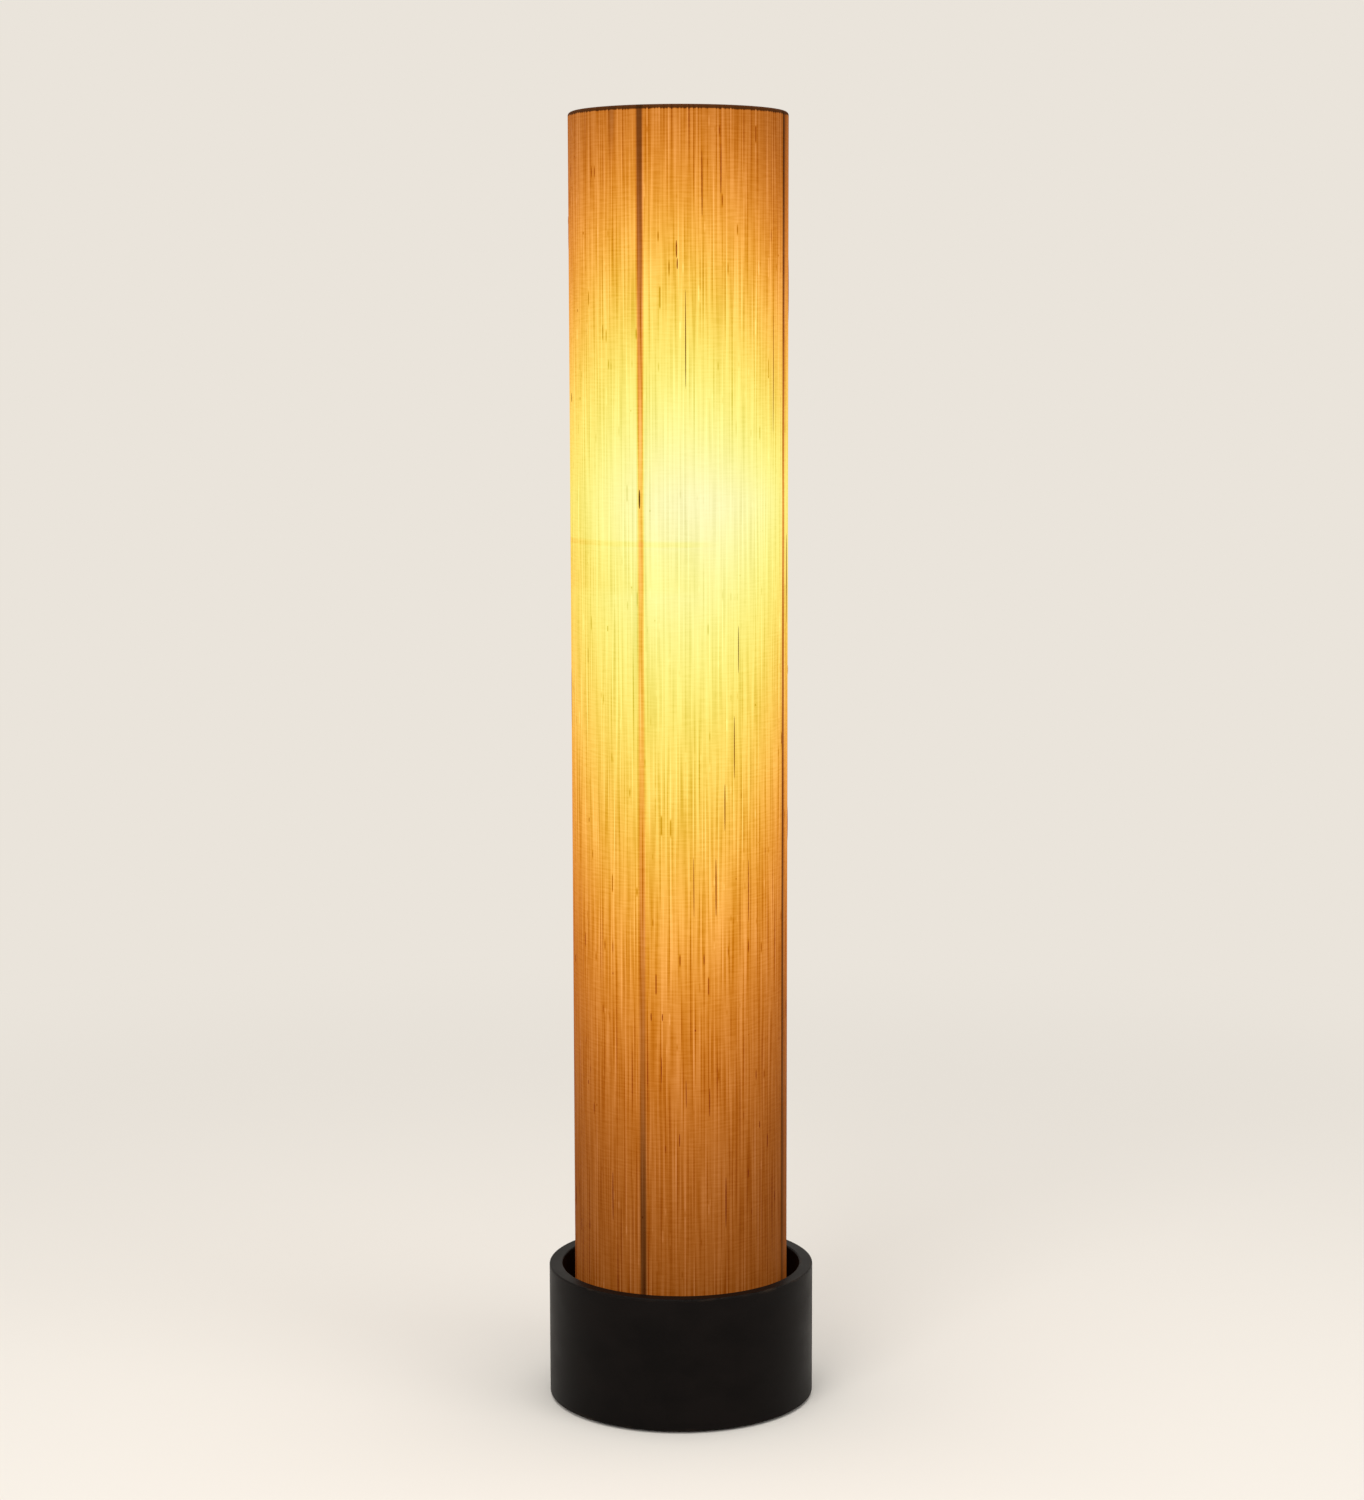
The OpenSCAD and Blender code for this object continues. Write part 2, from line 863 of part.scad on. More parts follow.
module upright_right() {
    upright(1);
}

module upright_rear() {
    upright(2);
}

base_ring();
floor_board();
board_screws();
bottom_cover();
cover_screws();
foot_pads();
cord_grommet();
terminal_block();
terminal_tubes();
terminal_screws();
terminal_fixing_screw();
stem_flange();
flange_screws();
lower_nipple();
lower_washer();
lower_locknut();
stem_tube();
stem_set_screw();
upper_nipple();
holder_cap();
holder_shell();
holder_insulator();
holder_screw_shell();
holder_contact();
holder_terminal_screws();
internal_lead();
lead_cores();
locating_blocks();
block_screws();
bulb_globe();
bulb_mount();
bulb_filaments();
bulb_wires();
bulb_cap();
bulb_insulator();
bulb_contact();
shade_fabric();
shade_liner();
top_ring();
mid_ring();
bottom_ring();
upright_front();
upright_right();
upright_rear();
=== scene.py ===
"""Column floor lamp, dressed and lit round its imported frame. Metres, +Z up, the front is -Y.

Turns are degrees from the front towards +X. A lit bulb is shown by the cloth's own light.
"""

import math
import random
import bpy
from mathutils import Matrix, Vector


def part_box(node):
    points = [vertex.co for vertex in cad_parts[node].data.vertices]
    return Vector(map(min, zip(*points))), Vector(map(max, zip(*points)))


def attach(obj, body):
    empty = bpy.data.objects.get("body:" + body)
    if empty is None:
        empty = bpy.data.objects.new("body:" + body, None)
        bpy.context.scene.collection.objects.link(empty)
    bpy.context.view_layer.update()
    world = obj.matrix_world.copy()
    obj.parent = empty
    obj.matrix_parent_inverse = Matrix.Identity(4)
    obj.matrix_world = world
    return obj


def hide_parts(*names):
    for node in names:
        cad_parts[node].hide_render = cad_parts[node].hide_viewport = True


bl_info = {
    "name": "Column floor lamp",
    "version": (1, 0, 0),
    "blender": (4, 5, 0),
    "location": "View3D > Sidebar > Lamp",
    "description": "Cloth, frame, bulb, holder, base and stage of a column floor lamp",
    "category": "Object",
}

from functools import partial

import bmesh
import bpy
from bpy.props import FloatProperty, FloatVectorProperty, IntProperty, PointerProperty
from mathutils import Matrix, Vector

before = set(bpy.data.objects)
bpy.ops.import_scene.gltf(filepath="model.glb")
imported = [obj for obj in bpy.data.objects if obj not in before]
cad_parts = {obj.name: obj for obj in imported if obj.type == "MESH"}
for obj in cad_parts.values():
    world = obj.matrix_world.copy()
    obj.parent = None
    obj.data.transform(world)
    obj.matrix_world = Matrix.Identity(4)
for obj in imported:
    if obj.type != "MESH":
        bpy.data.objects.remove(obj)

MM = 0.001
AXIS = Vector((0.0, 0.0, 1.0))

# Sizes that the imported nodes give. A node's box is (lowest corner, highest corner).
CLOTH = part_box("shade_fabric")
TOP_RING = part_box("top_ring")
BOTTOM_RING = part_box("bottom_ring")
MID_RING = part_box("mid_ring")
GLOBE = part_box("bulb_globe")
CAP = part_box("bulb_cap")
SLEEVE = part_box("holder_screw_shell")
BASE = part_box("base_ring")
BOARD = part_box("floor_board")
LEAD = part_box("internal_lead")
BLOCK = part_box("terminal_block")

WIRE_R = (TOP_RING[1].z - TOP_RING[0].z) / 2
WIRE_RING_R = TOP_RING[1].x - WIRE_R
MID_RING_R = MID_RING[1].x - WIRE_R
TOP_RING_Z, MID_RING_Z, BOTTOM_RING_Z = (
    (low.z + high.z) / 2 for low, high in (TOP_RING, MID_RING, BOTTOM_RING)
)
ROLL_R = CLOTH[1].z - TOP_RING_Z
CLOTH_R = WIRE_RING_R + ROLL_R
BULB_Z = GLOBE[1].z - (GLOBE[1].x - GLOBE[0].x) / 2
BOARD_PLAY = 0.4 * MM
WELL_R = BOARD[1].x + BOARD_PLAY

UPRIGHT_TURNS = (-20.0, 100.0, 220.0)
REAR_SHADOW_TURN = -36.0
LAP_TURN = 69.4
LAP_WIDTH = 11 * MM
# A real yarn of this cloth is about 1 mm wide; it is drawn a little coarser, so that it shows.
YARN_STEP = 1.4 * MM

# The turn that the bulb's light leans by, how sharply it falls off round the tube, and what each
# grows by beside the bulb.
LEAN_TURN, LEAN_SHARPNESS = -8.0, 3.3
SWING_TURN, SWING_SHARPNESS = 16.0, 2.2
# The eye sees this root of a light.
EYE_ROOT = 2.2
# What the steps in green and blue add to a yarn's streak, and what red, green and blue take of it.
STREAK_PARTS = (1.1, 0.35)
STREAK_GAINS = (1.0, 1.1, 1.35)

# Places of the thick slubs that the front shows: turn in degrees, height and length in metres,
# and strength.
FRONT_SLUBS = (
    (-20.6, 0.868, 0.018, 1.0),
    (-1.0, 1.092, 0.016, 1.0),
    (-0.6, 1.079, 0.010, 0.8),
    (12.0, 1.150, 0.060, 0.6),
    (22.0, 1.163, 0.045, 0.6),
    (3.5, 1.012, 0.090, 0.4),
    (58.0, 0.980, 0.110, 0.4),
    (19.0, 0.511, 0.055, 0.9),
    (7.2, 0.512, 0.057, 0.35),
    (24.0, 0.585, 0.045, 0.6),
    (29.5, 0.640, 0.060, 0.5),
    (32.0, 0.730, 0.045, 0.25),
    (38.5, 0.505, 0.060, 0.6),
    (24.5, 0.212, 0.050, 0.8),
    (-38.5, 0.215, 0.048, 0.7),
    (69.0, 0.642, 0.012, 1.0),
    (-15.3, 0.390, 0.008, 0.6),
    (-9.3, 0.390, 0.007, 0.5),
    (-9.9, 0.340, 0.026, 0.4),
    (3.0, 0.318, 0.028, 0.3),
    (15.4, 0.309, 0.028, 0.4),
    (46.7, 0.281, 0.007, 0.5),
    (-0.5, 0.274, 0.013, 0.4),
)


def linear(hex_colour):
    """A linear RGBA colour from an sRGB one written as six hex digits."""
    channels = [int(hex_colour[i : i + 2], 16) / 255 for i in (0, 2, 4)]
    return tuple(
        c / 12.92 if c <= 0.04045 else ((c + 0.055) / 1.055) ** 2.4 for c in channels
    ) + (1.0,)


# The setting that a node's mode is, where that isn't its operation.
MODES = {"MapRange": "interpolation_type", "Mix": "data_type"}


def add_node(tree, kind, *values, out=0, stops=None, **named):
    """Adds a shader node with its settings and gives one of its outputs.

    kind is its type and, after a dot, its mode; an operation alone is a Math node's. values are
    for its enabled sockets, in order. named holds settings, and sockets by name, which start with
    a capital and have _ for a space. stops are a ramp's (place, hex colour) pairs.
    """
    kind, _, mode = ("Math." + kind if kind.isupper() else kind).partition(".")
    node = tree.nodes.new("ShaderNode" + kind)
    if mode:
        setattr(node, MODES.get(kind, "operation"), mode)
    pairs = list(zip([socket for socket in node.inputs if socket.enabled], values))
    for name, value in named.items():
        if name[0].isupper():
            pairs.append((node.inputs[name.replace("_", " ")], value))
        else:
            setattr(node, name, value)
    for socket, value in pairs:
        if isinstance(value, bpy.types.NodeSocket):
            tree.links.new(value, socket)
        else:
            socket.default_value = value
    if stops:
        ramp = node.color_ramp.elements
        while len(ramp) < len(stops):
            ramp.new(1.0)
        for element, (place, colour) in zip(ramp, stops):
            element.position = place
            element.color = linear(colour)
    if isinstance(out, str):
        return node.outputs[out]
    return [socket for socket in node.outputs if socket.enabled][out]


def clear_nodes(owner):
    """Empties a material's or world's tree and gives the function that adds nodes to it."""
    owner.use_nodes = True
    owner.node_tree.nodes.clear()
    return partial(add_node, owner.node_tree)


def show(owner, shader):
    """Links a shader to the output of its material or world."""
    output = owner.node_tree.nodes.new("ShaderNodeOutput" + type(owner).__name__)
    owner.node_tree.links.new(shader, output.inputs["Surface"])


def new_material(name):
    """An empty material, the function that adds its nodes, and the object's own coordinates."""
    material = bpy.data.materials.new(name)
    node = clear_nodes(material)
    return material, node, node("TexCoord", out="Object")


def finish(material, colour, rough, relief, **sockets):
    """Gives the material one surface shader.

    colour is a socket, or a pattern and its ramp's stops. rough is a socket, or a pattern and the
    roughness where it is 0.3 and 0.7. relief is a height, its strength and its depth in mm.
    """
    node = partial(add_node, material.node_tree)
    if isinstance(colour, tuple):
        colour = node("ValToRGB", colour[0], stops=colour[1:])
    if isinstance(rough, tuple):
        rough = node("MapRange", rough[0], 0.3, 0.7, *rough[1:])
    height, strength, depth_mm = relief
    bump = node("Bump", Height=height, Strength=strength, Distance=depth_mm * MM)
    sockets = {"Base_Color": colour, "Roughness": rough, "Normal": bump, **sockets}
    show(material, node("BsdfPrincipled", **sockets))
    return material


def grains(node, where, sizes_mm, detail=1.0, roughness=0.5):
    """A pattern whose grains measure these sizes along X, Y and Z, in millimetres."""
    steps = tuple(1000.0 / size for size in sizes_mm)
    scaled = node("VectorMath.MULTIPLY", where, steps)
    return node("TexNoise", scaled, 1.0, detail, roughness)


def smooth_step(t):
    """0 to 1, with level ends."""
    t = min(max(t, 0.0), 1.0)
    return t * t * (3 - 2 * t)


def at_turn(turn, radius, height):
    """The point at a turn in degrees, a radius and a height."""
    a = math.radians(turn)
    return Vector((radius * math.sin(a), -radius * math.cos(a), height))


def put(name, data):
    """Puts new data in the scene as an object of the same name."""
    thing = bpy.data.objects.new(name, data)
    bpy.context.scene.collection.objects.link(thing)
    return thing


def put_mesh(name, bm, material):
    """Puts a finished bmesh in the scene, with its material."""
    mesh = bpy.data.meshes.new(name)
    bm.to_mesh(mesh)
    bm.free()
    mesh.materials.append(material)
    return put(name, mesh)


def new_piece(name, bm, material, body, replaced=()):
    """Makes a finished bmesh a piece that rides on a body and stands for CAD nodes."""
    for face in bm.faces:
        face.smooth = True
    piece = put_mesh(name, bm, material)
    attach(piece, body)
    if replaced:
        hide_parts(*replaced)
    return piece


def give_wall(piece, thickness):
    """Gives a piece that is one outer skin a wall of this thickness, inwards."""
    wall = piece.modifiers.new("wall", "SOLIDIFY")
    wall.thickness = thickness
    wall.offset = -1.0


def dress(material, *nodes):
    """Puts a material on CAD nodes, whose shapes stay."""
    for name in nodes:
        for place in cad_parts[name].material_slots:
            place.material = material


def a_number(name, description, default, low=0.0, high=1000.0, **kind):
    """A number that the user may set. kind is its unit or subtype, where one fits."""
    return FloatProperty(
        name=name, description=description, default=default, min=low, max=high, **kind
    )


def a_colour(name, description, hex_colour, high=1.0):
    """A colour that the user may set."""
    colour = {"subtype": "COLOR", "default": linear(hex_colour)[:3], "min": 0.0, "max": high}
    return FloatVectorProperty(name=name, description=description, **colour)


# -------- the bulb's light on the shade


def bulb_light(node, where, cloth):
    """The level of the bulb's light on the tube: it falls off faster upwards, where the top is
    open, and it leans to the front, so that the tube's sides fall away and it looks round."""
    away = node("SUBTRACT", node("SeparateXYZ", where, out="Z"), cloth.glow_height)
    above = node("GREATER_THAN", away, 0.0)
    rate = node("MULTIPLY_ADD", above, cloth.fade_up - cloth.fade_down, cloth.fade_down)
    reach = node("SQRT", node("MULTIPLY_ADD", away, away, cloth.glow_core**2))
    reach = node("SUBTRACT", reach, cloth.glow_core)
    share = node("POWER", math.exp(-1), node("MULTIPLY", reach, rate))
    half = 0.5 / CLOTH_R
    facing = node("VectorMath.DOT_PRODUCT", where, at_turn(LEAN_TURN, half, 0.0))
    facing = node("ADD", facing, 0.5)
    # Beside the bulb it leans to the other side, and falls off faster round the tube.
    across = node("MULTIPLY", node("SeparateXYZ", where), share)
    swing = half * math.sin(math.radians(SWING_TURN))
    facing = node("MULTIPLY_ADD", across, swing, facing)
    sharpness = node("MULTIPLY_ADD", share, SWING_SHARPNESS, LEAN_SHARPNESS)
    facing = node("POWER", facing, sharpness)
    facing = node("MULTIPLY_ADD", facing, cloth.front_lean, 1.0 - cloth.front_lean)
    level = node("MULTIPLY", share, cloth.glow_peak)
    return node("MULTIPLY_ADD", level, facing, cloth.glow_everywhere)


def filled(node, share, level):
    """How full a colour channel is, as the eye sees it, in light of this level. A light of level 1
    fills this share of it, and each further step fills that share of what is left."""
    left = node("POWER", 1.0 - share, level)
    return node("POWER", node("SUBTRACT", 1.0, left), 1 / EYE_ROOT)


def lit_colour(node, level, yarn, cloth, spread=0.0):
    """The colour that the bulb's light takes on the shade: amber where it is weak, pale yellow
    where it is strong. A yarn's own streak is a nearly grey step, a little larger in the blue.
    spread is how fast strong light spreads in the cloth and fills the streaks in."""
    ease = node("MULTIPLY_ADD", level, spread, 1.0)
    streak = node("DIVIDE", node("SUBTRACT", yarn, 1.0), ease)
    streak = node("ADD", streak, 1.0)
    step = 0.0
    for share, factor, part in zip(cloth.weak_light[1:], (streak, yarn), STREAK_PARTS):
        behind = filled(node, share, node("MULTIPLY", level, factor))
        change = node("SUBTRACT", behind, filled(node, share, level))
        step = node("MULTIPLY_ADD", change, part, step)
    channels = []
    for share, gain in zip(cloth.weak_light, STREAK_GAINS):
        seen = node("MULTIPLY_ADD", step, gain, filled(node, share, level))
        channels.append(node("POWER", node("MAXIMUM", seen, 0.0), EYE_ROOT))
    return node("CombineColor", *channels)


def lit(node, level, yarn, cloth, spread=0.0):
    """The surface shader's sockets for the shade's own light."""
    colour = lit_colour(node, level, yarn, cloth, spread)
    return {"Emission_Color": colour, "Emission_Strength": cloth.glow_strength}


def yarn_pattern(node, flat):
    """How much light each yarn lets through, round 1, and the cloth's relief.

    flat holds the place on the cloth: X across the slub yarns, Y along them. Each yarn keeps its
    own thickness, which drifts along it.
    """
    count = node("MULTIPLY", node("SeparateXYZ", flat), 1 / YARN_STEP)
    along = node("SeparateXYZ", flat, out="Y")
    yarn = node("FLOOR", count)
    # Far apart in the noise, so that neighbours have nothing in common.
    lane = node("MULTIPLY", yarn, 7.31)
    drifts = []
    for length_mm, detail in ((120.0, 1.0), (30.0, 0.0), (10.0, 0.0)):
        reach = node("MULTIPLY", along, 1000 / length_mm)
        place = node("CombineXYZ", lane, reach, length_mm)
        drifts.append(node("TexNoise", place, 1.0, detail))
    thick, slubs, nubs = drifts
    bands = grains(node, flat, (9.0, 900.0, 1.0))
    wefts = grains(node, flat, (14.0, 1.6, 1.0), 0.0)
    # About every third yarn is a thick one.
    thick_every, thick_step = 2.9, 0.12
    third = node("SINE", node("MULTIPLY", yarn, 2 * math.pi / thick_every))
    light = node("MULTIPLY_ADD", third, thick_step, 1.0)
    for noise, strength in ((thick, 1.82), (bands, 0.3), (wefts, 0.32)):
        part = node("MULTIPLY_ADD", noise, strength, -strength / 2)
        light = node("ADD", part, light)
    # Where a yarn swells to a slub it is darker, and where it is starved it lets more through.
    swells = ((slubs, 0.76, 0.84, 0.34), (nubs, 0.86, 0.90, 0.3), (slubs, 0.22, 0.16, 1.3))
    for noise, start, end, level in swells:
        part = node("MapRange.SMOOTHSTEP", noise, start, end, 1.0, level)
        light = node("MULTIPLY", light, part)
    least_light = 0.15
    light = node("MAXIMUM", light, least_light)
    # Each yarn is round, and a thick one stands out more.
    hump = node("SINE", node("MULTIPLY", node("FRACT", count), math.pi))
    relief = node("MULTIPLY_ADD", thick, -1.5, 0.75)
    for height in (hump, wefts):
        relief = node("MULTIPLY_ADD", height, 0.6, relief)
    return light, relief


def wire_shadow(node, where, turn, half_mm=3.0, blur_mm=1.4):
    """1 on the line up the tube in front of a wire at that turn, and 0 beside it."""
    off = node("VectorMath.DOT_PRODUCT", where, at_turn(turn + 90.0, 1.0, 0.0))
    edge = (half_mm - blur_mm) * MM, (half_mm + blur_mm) * MM
    line = node("MapRange.SMOOTHSTEP", node("ABSOLUTE", off), *edge, 1.0, 0.0)
    near = node("VectorMath.DOT_PRODUCT", where, at_turn(turn, 1.0, 0.0))
    return node("MULTIPLY", line, node("GREATER_THAN", near, 0.0))


def frame_shadows(node, where):
    """How much of the bulb's light the wires leave on the cloth."""
    height = node("SeparateXYZ", where, out="Z")
    # An upright takes most of the light that comes straight from the bulb or off the floor board,
    # and half of the scattered light between them.
    scattered, from_bulb, off_board = 0.5, 0.84, 0.78
    high = node("MapRange.SMOOTHSTEP", height, BULB_Z - 0.3, BULB_Z, scattered, from_bulb)
    low = node("MapRange.SMOOTHSTEP", height, 0.33, 0.18, scattered, off_board)
    upright = node("MAXIMUM", high, low)
    lines = [(wire_shadow(node, where, turn), upright) for turn in UPRIGHT_TURNS]
    # The rear upright shows faintly through the front, only near the top.
    faint = node("MapRange.SMOOTHSTEP", height, TOP_RING_Z - 0.065, TOP_RING_Z, 0.0, 0.42)
    lines.append((wire_shadow(node, where, REAR_SHADOW_TURN, 3.6, 2.8), faint))
    # The middle ring's shadow lies a little above it and is strongest on the left, where a broader
    # painted shade also darkens the cloth below it. Each row is a place above the ring, a half
    # height and a blur in millimetres, and a depth.
    across = node("SeparateXYZ", where)
    left = node("MapRange.SMOOTHSTEP", across, 0.0, 45 * MM, 1.0, 0.0)
    for middle, half, blur, depth in ((1.0, 1.0, 3.0, 0.26), (-22.0, 13.0, 16.0, 0.18)):
        off = node("ABSOLUTE", node("SUBTRACT", height, MID_RING_Z + middle * MM))
        ring = node("MapRange.SMOOTHSTEP", off, half * MM, (half + blur) * MM, depth, 0.0)
        lines.append((ring, left))
    light = 1.0
    for line, depth in lines:
        kept = node("SUBTRACT", 1.0, node("MULTIPLY", line, depth))
        light = node("MULTIPLY", light, kept)
    return light


def doubled_cloth(node, where, flat, yarn):
    """How much light the lap and the rolled ends let through, where the cloth is double."""
    across = node("SeparateXYZ", flat)
    height = node("SeparateXYZ", where, out="Z")
    # A sharp glued edge, darkest high up, then the double layer.
    double, rolled = 0.8, 0.06
    glue = node("MapRange", height, 0.12, 0.5, 0.42, 0.14)
    edge = node("MapRange.SMOOTHSTEP", across, 3.8 * MM, 4.8 * MM, glue, double)
    single = node("MapRange", across, LAP_WIDTH, LAP_WIDTH + 1 * MM, 0.0, 1.0)
    light = node("Mix.FLOAT", single, edge, 1.0)
    # Over an end ring the cloth is rolled, with the wire behind it. A thick yarn hides more.
    ragged = node("MULTIPLY_ADD", yarn, -1.5 * MM, height)
    bands = (
        (ragged, TOP_RING_Z - 3.2 * MM, TOP_RING_Z - 1.9 * MM),
        (height, BOTTOM_RING_Z + 1 * MM, BOTTOM_RING_Z - 1 * MM),
    )
    for band in bands:
        light = node("MULTIPLY", light, node("MapRange.SMOOTHSTEP", *band, 1.0, rolled))
    return light


def slub_cloth(cloth):
    """Slub-woven jute and cotton, laminated to film: uneven yarns run up the tube, and each thick
    one holds the bulb's light back, so that the lit cloth is streaked."""
    material, node, where = new_material("slub_woven_cloth")
    flat = node("UVMap", uv_map="cloth")
    yarn, relief = yarn_pattern(node, flat)
    shade = node("MULTIPLY", doubled_cloth(node, where, flat, yarn), frame_shadows(node, where))
    level = node("MULTIPLY", bulb_light(node, where, cloth), shade)
    # The plain colour is darker too, but less, at thick yarns and under the painted shadows of the
    # wires, the lap and the rolled ends.
    tone = node("MULTIPLY_ADD", node("MULTIPLY", shade, yarn), 0.5, 0.5)
    plain = (*cloth.cloth_colour, 1.0)
    # How fast strong light spreads in the cloth.
    spread = 0.04
    return finish(
        material,
        node("Mix.RGBA", 1.0, plain, tone, blend_type="MULTIPLY"),
        node("MULTIPLY_ADD", relief, 0.15, 0.65),
        (relief, 0.5, 0.3),
        Specular_IOR_Level=0.05,
        Sheen_Weight=0.25,
        Sheen_Roughness=0.4,
        Sheen_Tint=linear("8A4A14"),
        **lit(node, level, yarn, cloth, spread),
    )


def slub_yarn(cloth):
    """Loosely spun thick places of the same yarn: matt and fibrous, and dark against the light,
    since little of it gets through."""
    material, node, where = new_material("thick_slub_yarn")
    fibres = grains(node, where, (0.6, 0.6, 4.0), 2.0)
    share = node("MapRange", fibres, 0.3, 0.7, 0.18, 0.36)
    level = bulb_light(node, where, cloth)
    # However strong the light behind it, only a little gets round it.
    most_level = 2.6
    share = node("MINIMUM", share, node("DIVIDE", most_level, level))
    return finish(
        material,
        (fibres, (0.3, "2E1806"), (0.7, "4A2C0C")),
        (fibres, 0.75, 0.95),
        (fibres, 0.6, 0.15),
        Specular_IOR_Level=0.05,
        **lit(node, level, share, cloth),
    )


def laminating_film(cloth):
    """Milky polyester film, drawn smooth: the shade's inner wall. It glows brighter than the cloth
    outside, with the cloth's yarns soft behind it, and it has a film's gloss."""
    material, node, where = new_material("milky_polyester_film")
    yarns = grains(node, where, (2.6, 2.6, 160.0))
    waves = grains(node, where, (60.0, 60.0, 240.0))
    yarn = node("MapRange", yarns, 0.3, 0.7, 0.7, 1.3)
    brighter = 1.6
    share = node("MULTIPLY", frame_shadows(node, where), brighter)
    level = node("MULTIPLY", bulb_light(node, where, cloth), share)
    return finish(
        material,
        (yarns, (0.3, "A98C5C"), (0.7, "C4A878")),
        (waves, 0.28, 0.4),
        (waves, 0.3, 1.0),
        **lit(node, level, yarn, cloth),
    )


# -------- other materials


def black_lacquer(base):
    """Black satin lacquer, sprayed on a turned ring of wood fibre board: nearly black, with a soft
    sheen, faint lathe lines under the coat, and browner, duller edges, partly rub wear and partly
    a painted highlight of warm light on the rims."""
    material, node, where = new_material("black_satin_lacquer")
    radius = node("VectorMath.LENGTH", node("VectorMath.MULTIPLY", where, (1.0, 1.0, 0.0)))
    outline = node("CombineXYZ", radius, 0.0, node("SeparateXYZ", where, out="Z"))
    clouds = grains(node, where, (45.0, 45.0, 30.0), 3.0)
    peel = grains(node, where, (1.6, 1.6, 1.6))
    scuffs = grains(node, where, (26.0, 26.0, 3.0), 4.0, 0.7)
    # Lathe lines run round the ring, about 1.8 mm apart.
    lines = grains(node, outline, (1.8, 1.0, 1.8))
    # Nearness to the three edges, broken up by the scuffs. Their browner colour is partly rub wear
    # and partly a painted highlight of warm light on the rims.
    wear_and_rim_highlight = 0.0
    for x, z in ((BASE[1].x, BASE[1].z), (WELL_R, BASE[1].z), (BASE[1].x, BASE[0].z)):
        off = node("VectorMath.DISTANCE", outline, (x, 0.0, z))
        near = node("MapRange", off, 0.6 * MM, 3.2 * MM, 1.0, 0.0)
        wear_and_rim_highlight = node("MAXIMUM", wear_and_rim_highlight, near)
    wear_and_rim_highlight = node("MULTIPLY", wear_and_rim_highlight, node("MapRange", scuffs, 0.52, 0.68))
    wear_and_rim_highlight = node("MULTIPLY", wear_and_rim_highlight, base.edge_wear)
    coat = (*base.lacquer_colour, 1.0)
    faded = (*(1.7 * c for c in base.lacquer_colour), 1.0)
    colour = node("Mix.RGBA", node("MapRange", clouds, 0.35, 0.65), coat, faded)
    rough = node("MapRange", clouds, 0.3, 0.7, 0.42, 0.52)
    return finish(
        material,
        # 4B3A2C is the brown of the worn edges and of the painted rim highlight.
        node("Mix.RGBA", wear_and_rim_highlight, colour, linear("4B3A2C")),
        node("MULTIPLY_ADD", wear_and_rim_highlight, 0.25, rough),
        (node("MULTIPLY_ADD", lines, 0.5, peel), 0.25, 0.12),
        Specular_IOR_Level=0.06,
    )


def birch_plywood():
    """Birch plywood, sanded and left raw: pale, long-grained faces, and an edge of thin plies that
    go light and dark by turns."""
    material, node, where = new_material("raw_birch_plywood")
    figure = grains(node, where, (60.0, 5.0, 4000.0), 3.0, 0.6)
    pores = grains(node, where, (14.0, 0.6, 4000.0))
    face = ((0.3, "B98F60"), (0.5, "D2AC7C"), (0.7, "DDBB8E"))
    ply_mm = 1.5
    ply = node("MULTIPLY", node("SeparateXYZ", where, out="Z"), 1000 / (2 * ply_mm))
    ply = node("GREATER_THAN", node("FRACT", ply), 0.5)
    dark = node("MULTIPLY_ADD", ply, 0.35, grains(node, where, (0.9, 0.9, 3.0), 2.0))
    edge = node("ValToRGB", dark, stops=((0.3, "CFA97A"), (1.0, "7D5734")))
    level = node("ABSOLUTE", node("SeparateXYZ", node("TexCoord", out="Normal"), out="Z"))
    level = node("GREATER_THAN", level, 0.7)
    return finish(
        material,
        node("Mix.RGBA", level, edge, node("ValToRGB", figure, stops=face)),
        (pores, 0.62, 0.8),
        (node("MULTIPLY_ADD", pores, 0.5, figure), 0.4, 0.15),
    )


def beech_blocks():
    """Beech, planed and left raw: pinkish tan, close grained, with short dark flecks."""
    material, node, where = new_material("raw_beech")
    figure = grains(node, where, (3.0, 3.0, 40.0), 2.0)
    flecks = grains(node, where, (0.7, 0.7, 3.0), 0.0)
    tone = node("SUBTRACT", figure, node("MapRange", flecks, 0.66, 0.74, 0.0, 0.5))
    colour = (tone, (0.1, "8A5C37"), (0.35, "B98459"), (0.65, "CF9F73"))
    return finish(material, colour, (figure, 0.55, 0.72), (tone, 0.4, 0.12))


def tempered_hardboard():
    """Oiled hardboard, pressed from wood fibre against a wire screen: dark brown, flecked with
    fibres, and marked with the screen's squares."""
    material, node, where = new_material("pressed_hardboard")
    fibres = grains(node, where, (5.0, 1.2, 3.0), 4.0, 0.7)
    flecks = grains(node, where, (1.1, 6.0, 3.0), 2.0)
    tone = node("MULTIPLY_ADD", flecks, 0.5, fibres)
    mesh_step = 2.2 * MM
    relief = fibres
    for axis in "XY":
        wave = node("MULTIPLY", node("SeparateXYZ", where, out=axis), 2 * math.pi / mesh_step)
        relief = node("MULTIPLY_ADD", node("SINE", wave), 0.25, relief)
    colour = (tone, (0.5, "3A2415"), (0.75, "553722"), (1.0, "755033"))
    return finish(material, colour, (fibres, 0.6, 0.8), (relief, 0.5, 0.2))


def clouded(name, colours, clouds_mm, grain_mm, rough, relief, high=0.65, **sockets):
    """A body whose colour wanders between two tones in clouds, under a grain of its own."""
    material, node, where = new_material(name)
    clouds = grains(node, where, clouds_mm, 3.0, 0.6)
    grain = grains(node, where, grain_mm, 2.0)
    colour = (clouds, *zip((0.35, high), colours))
    return finish(material, colour, (grain, *rough), (grain, *relief), **sockets)


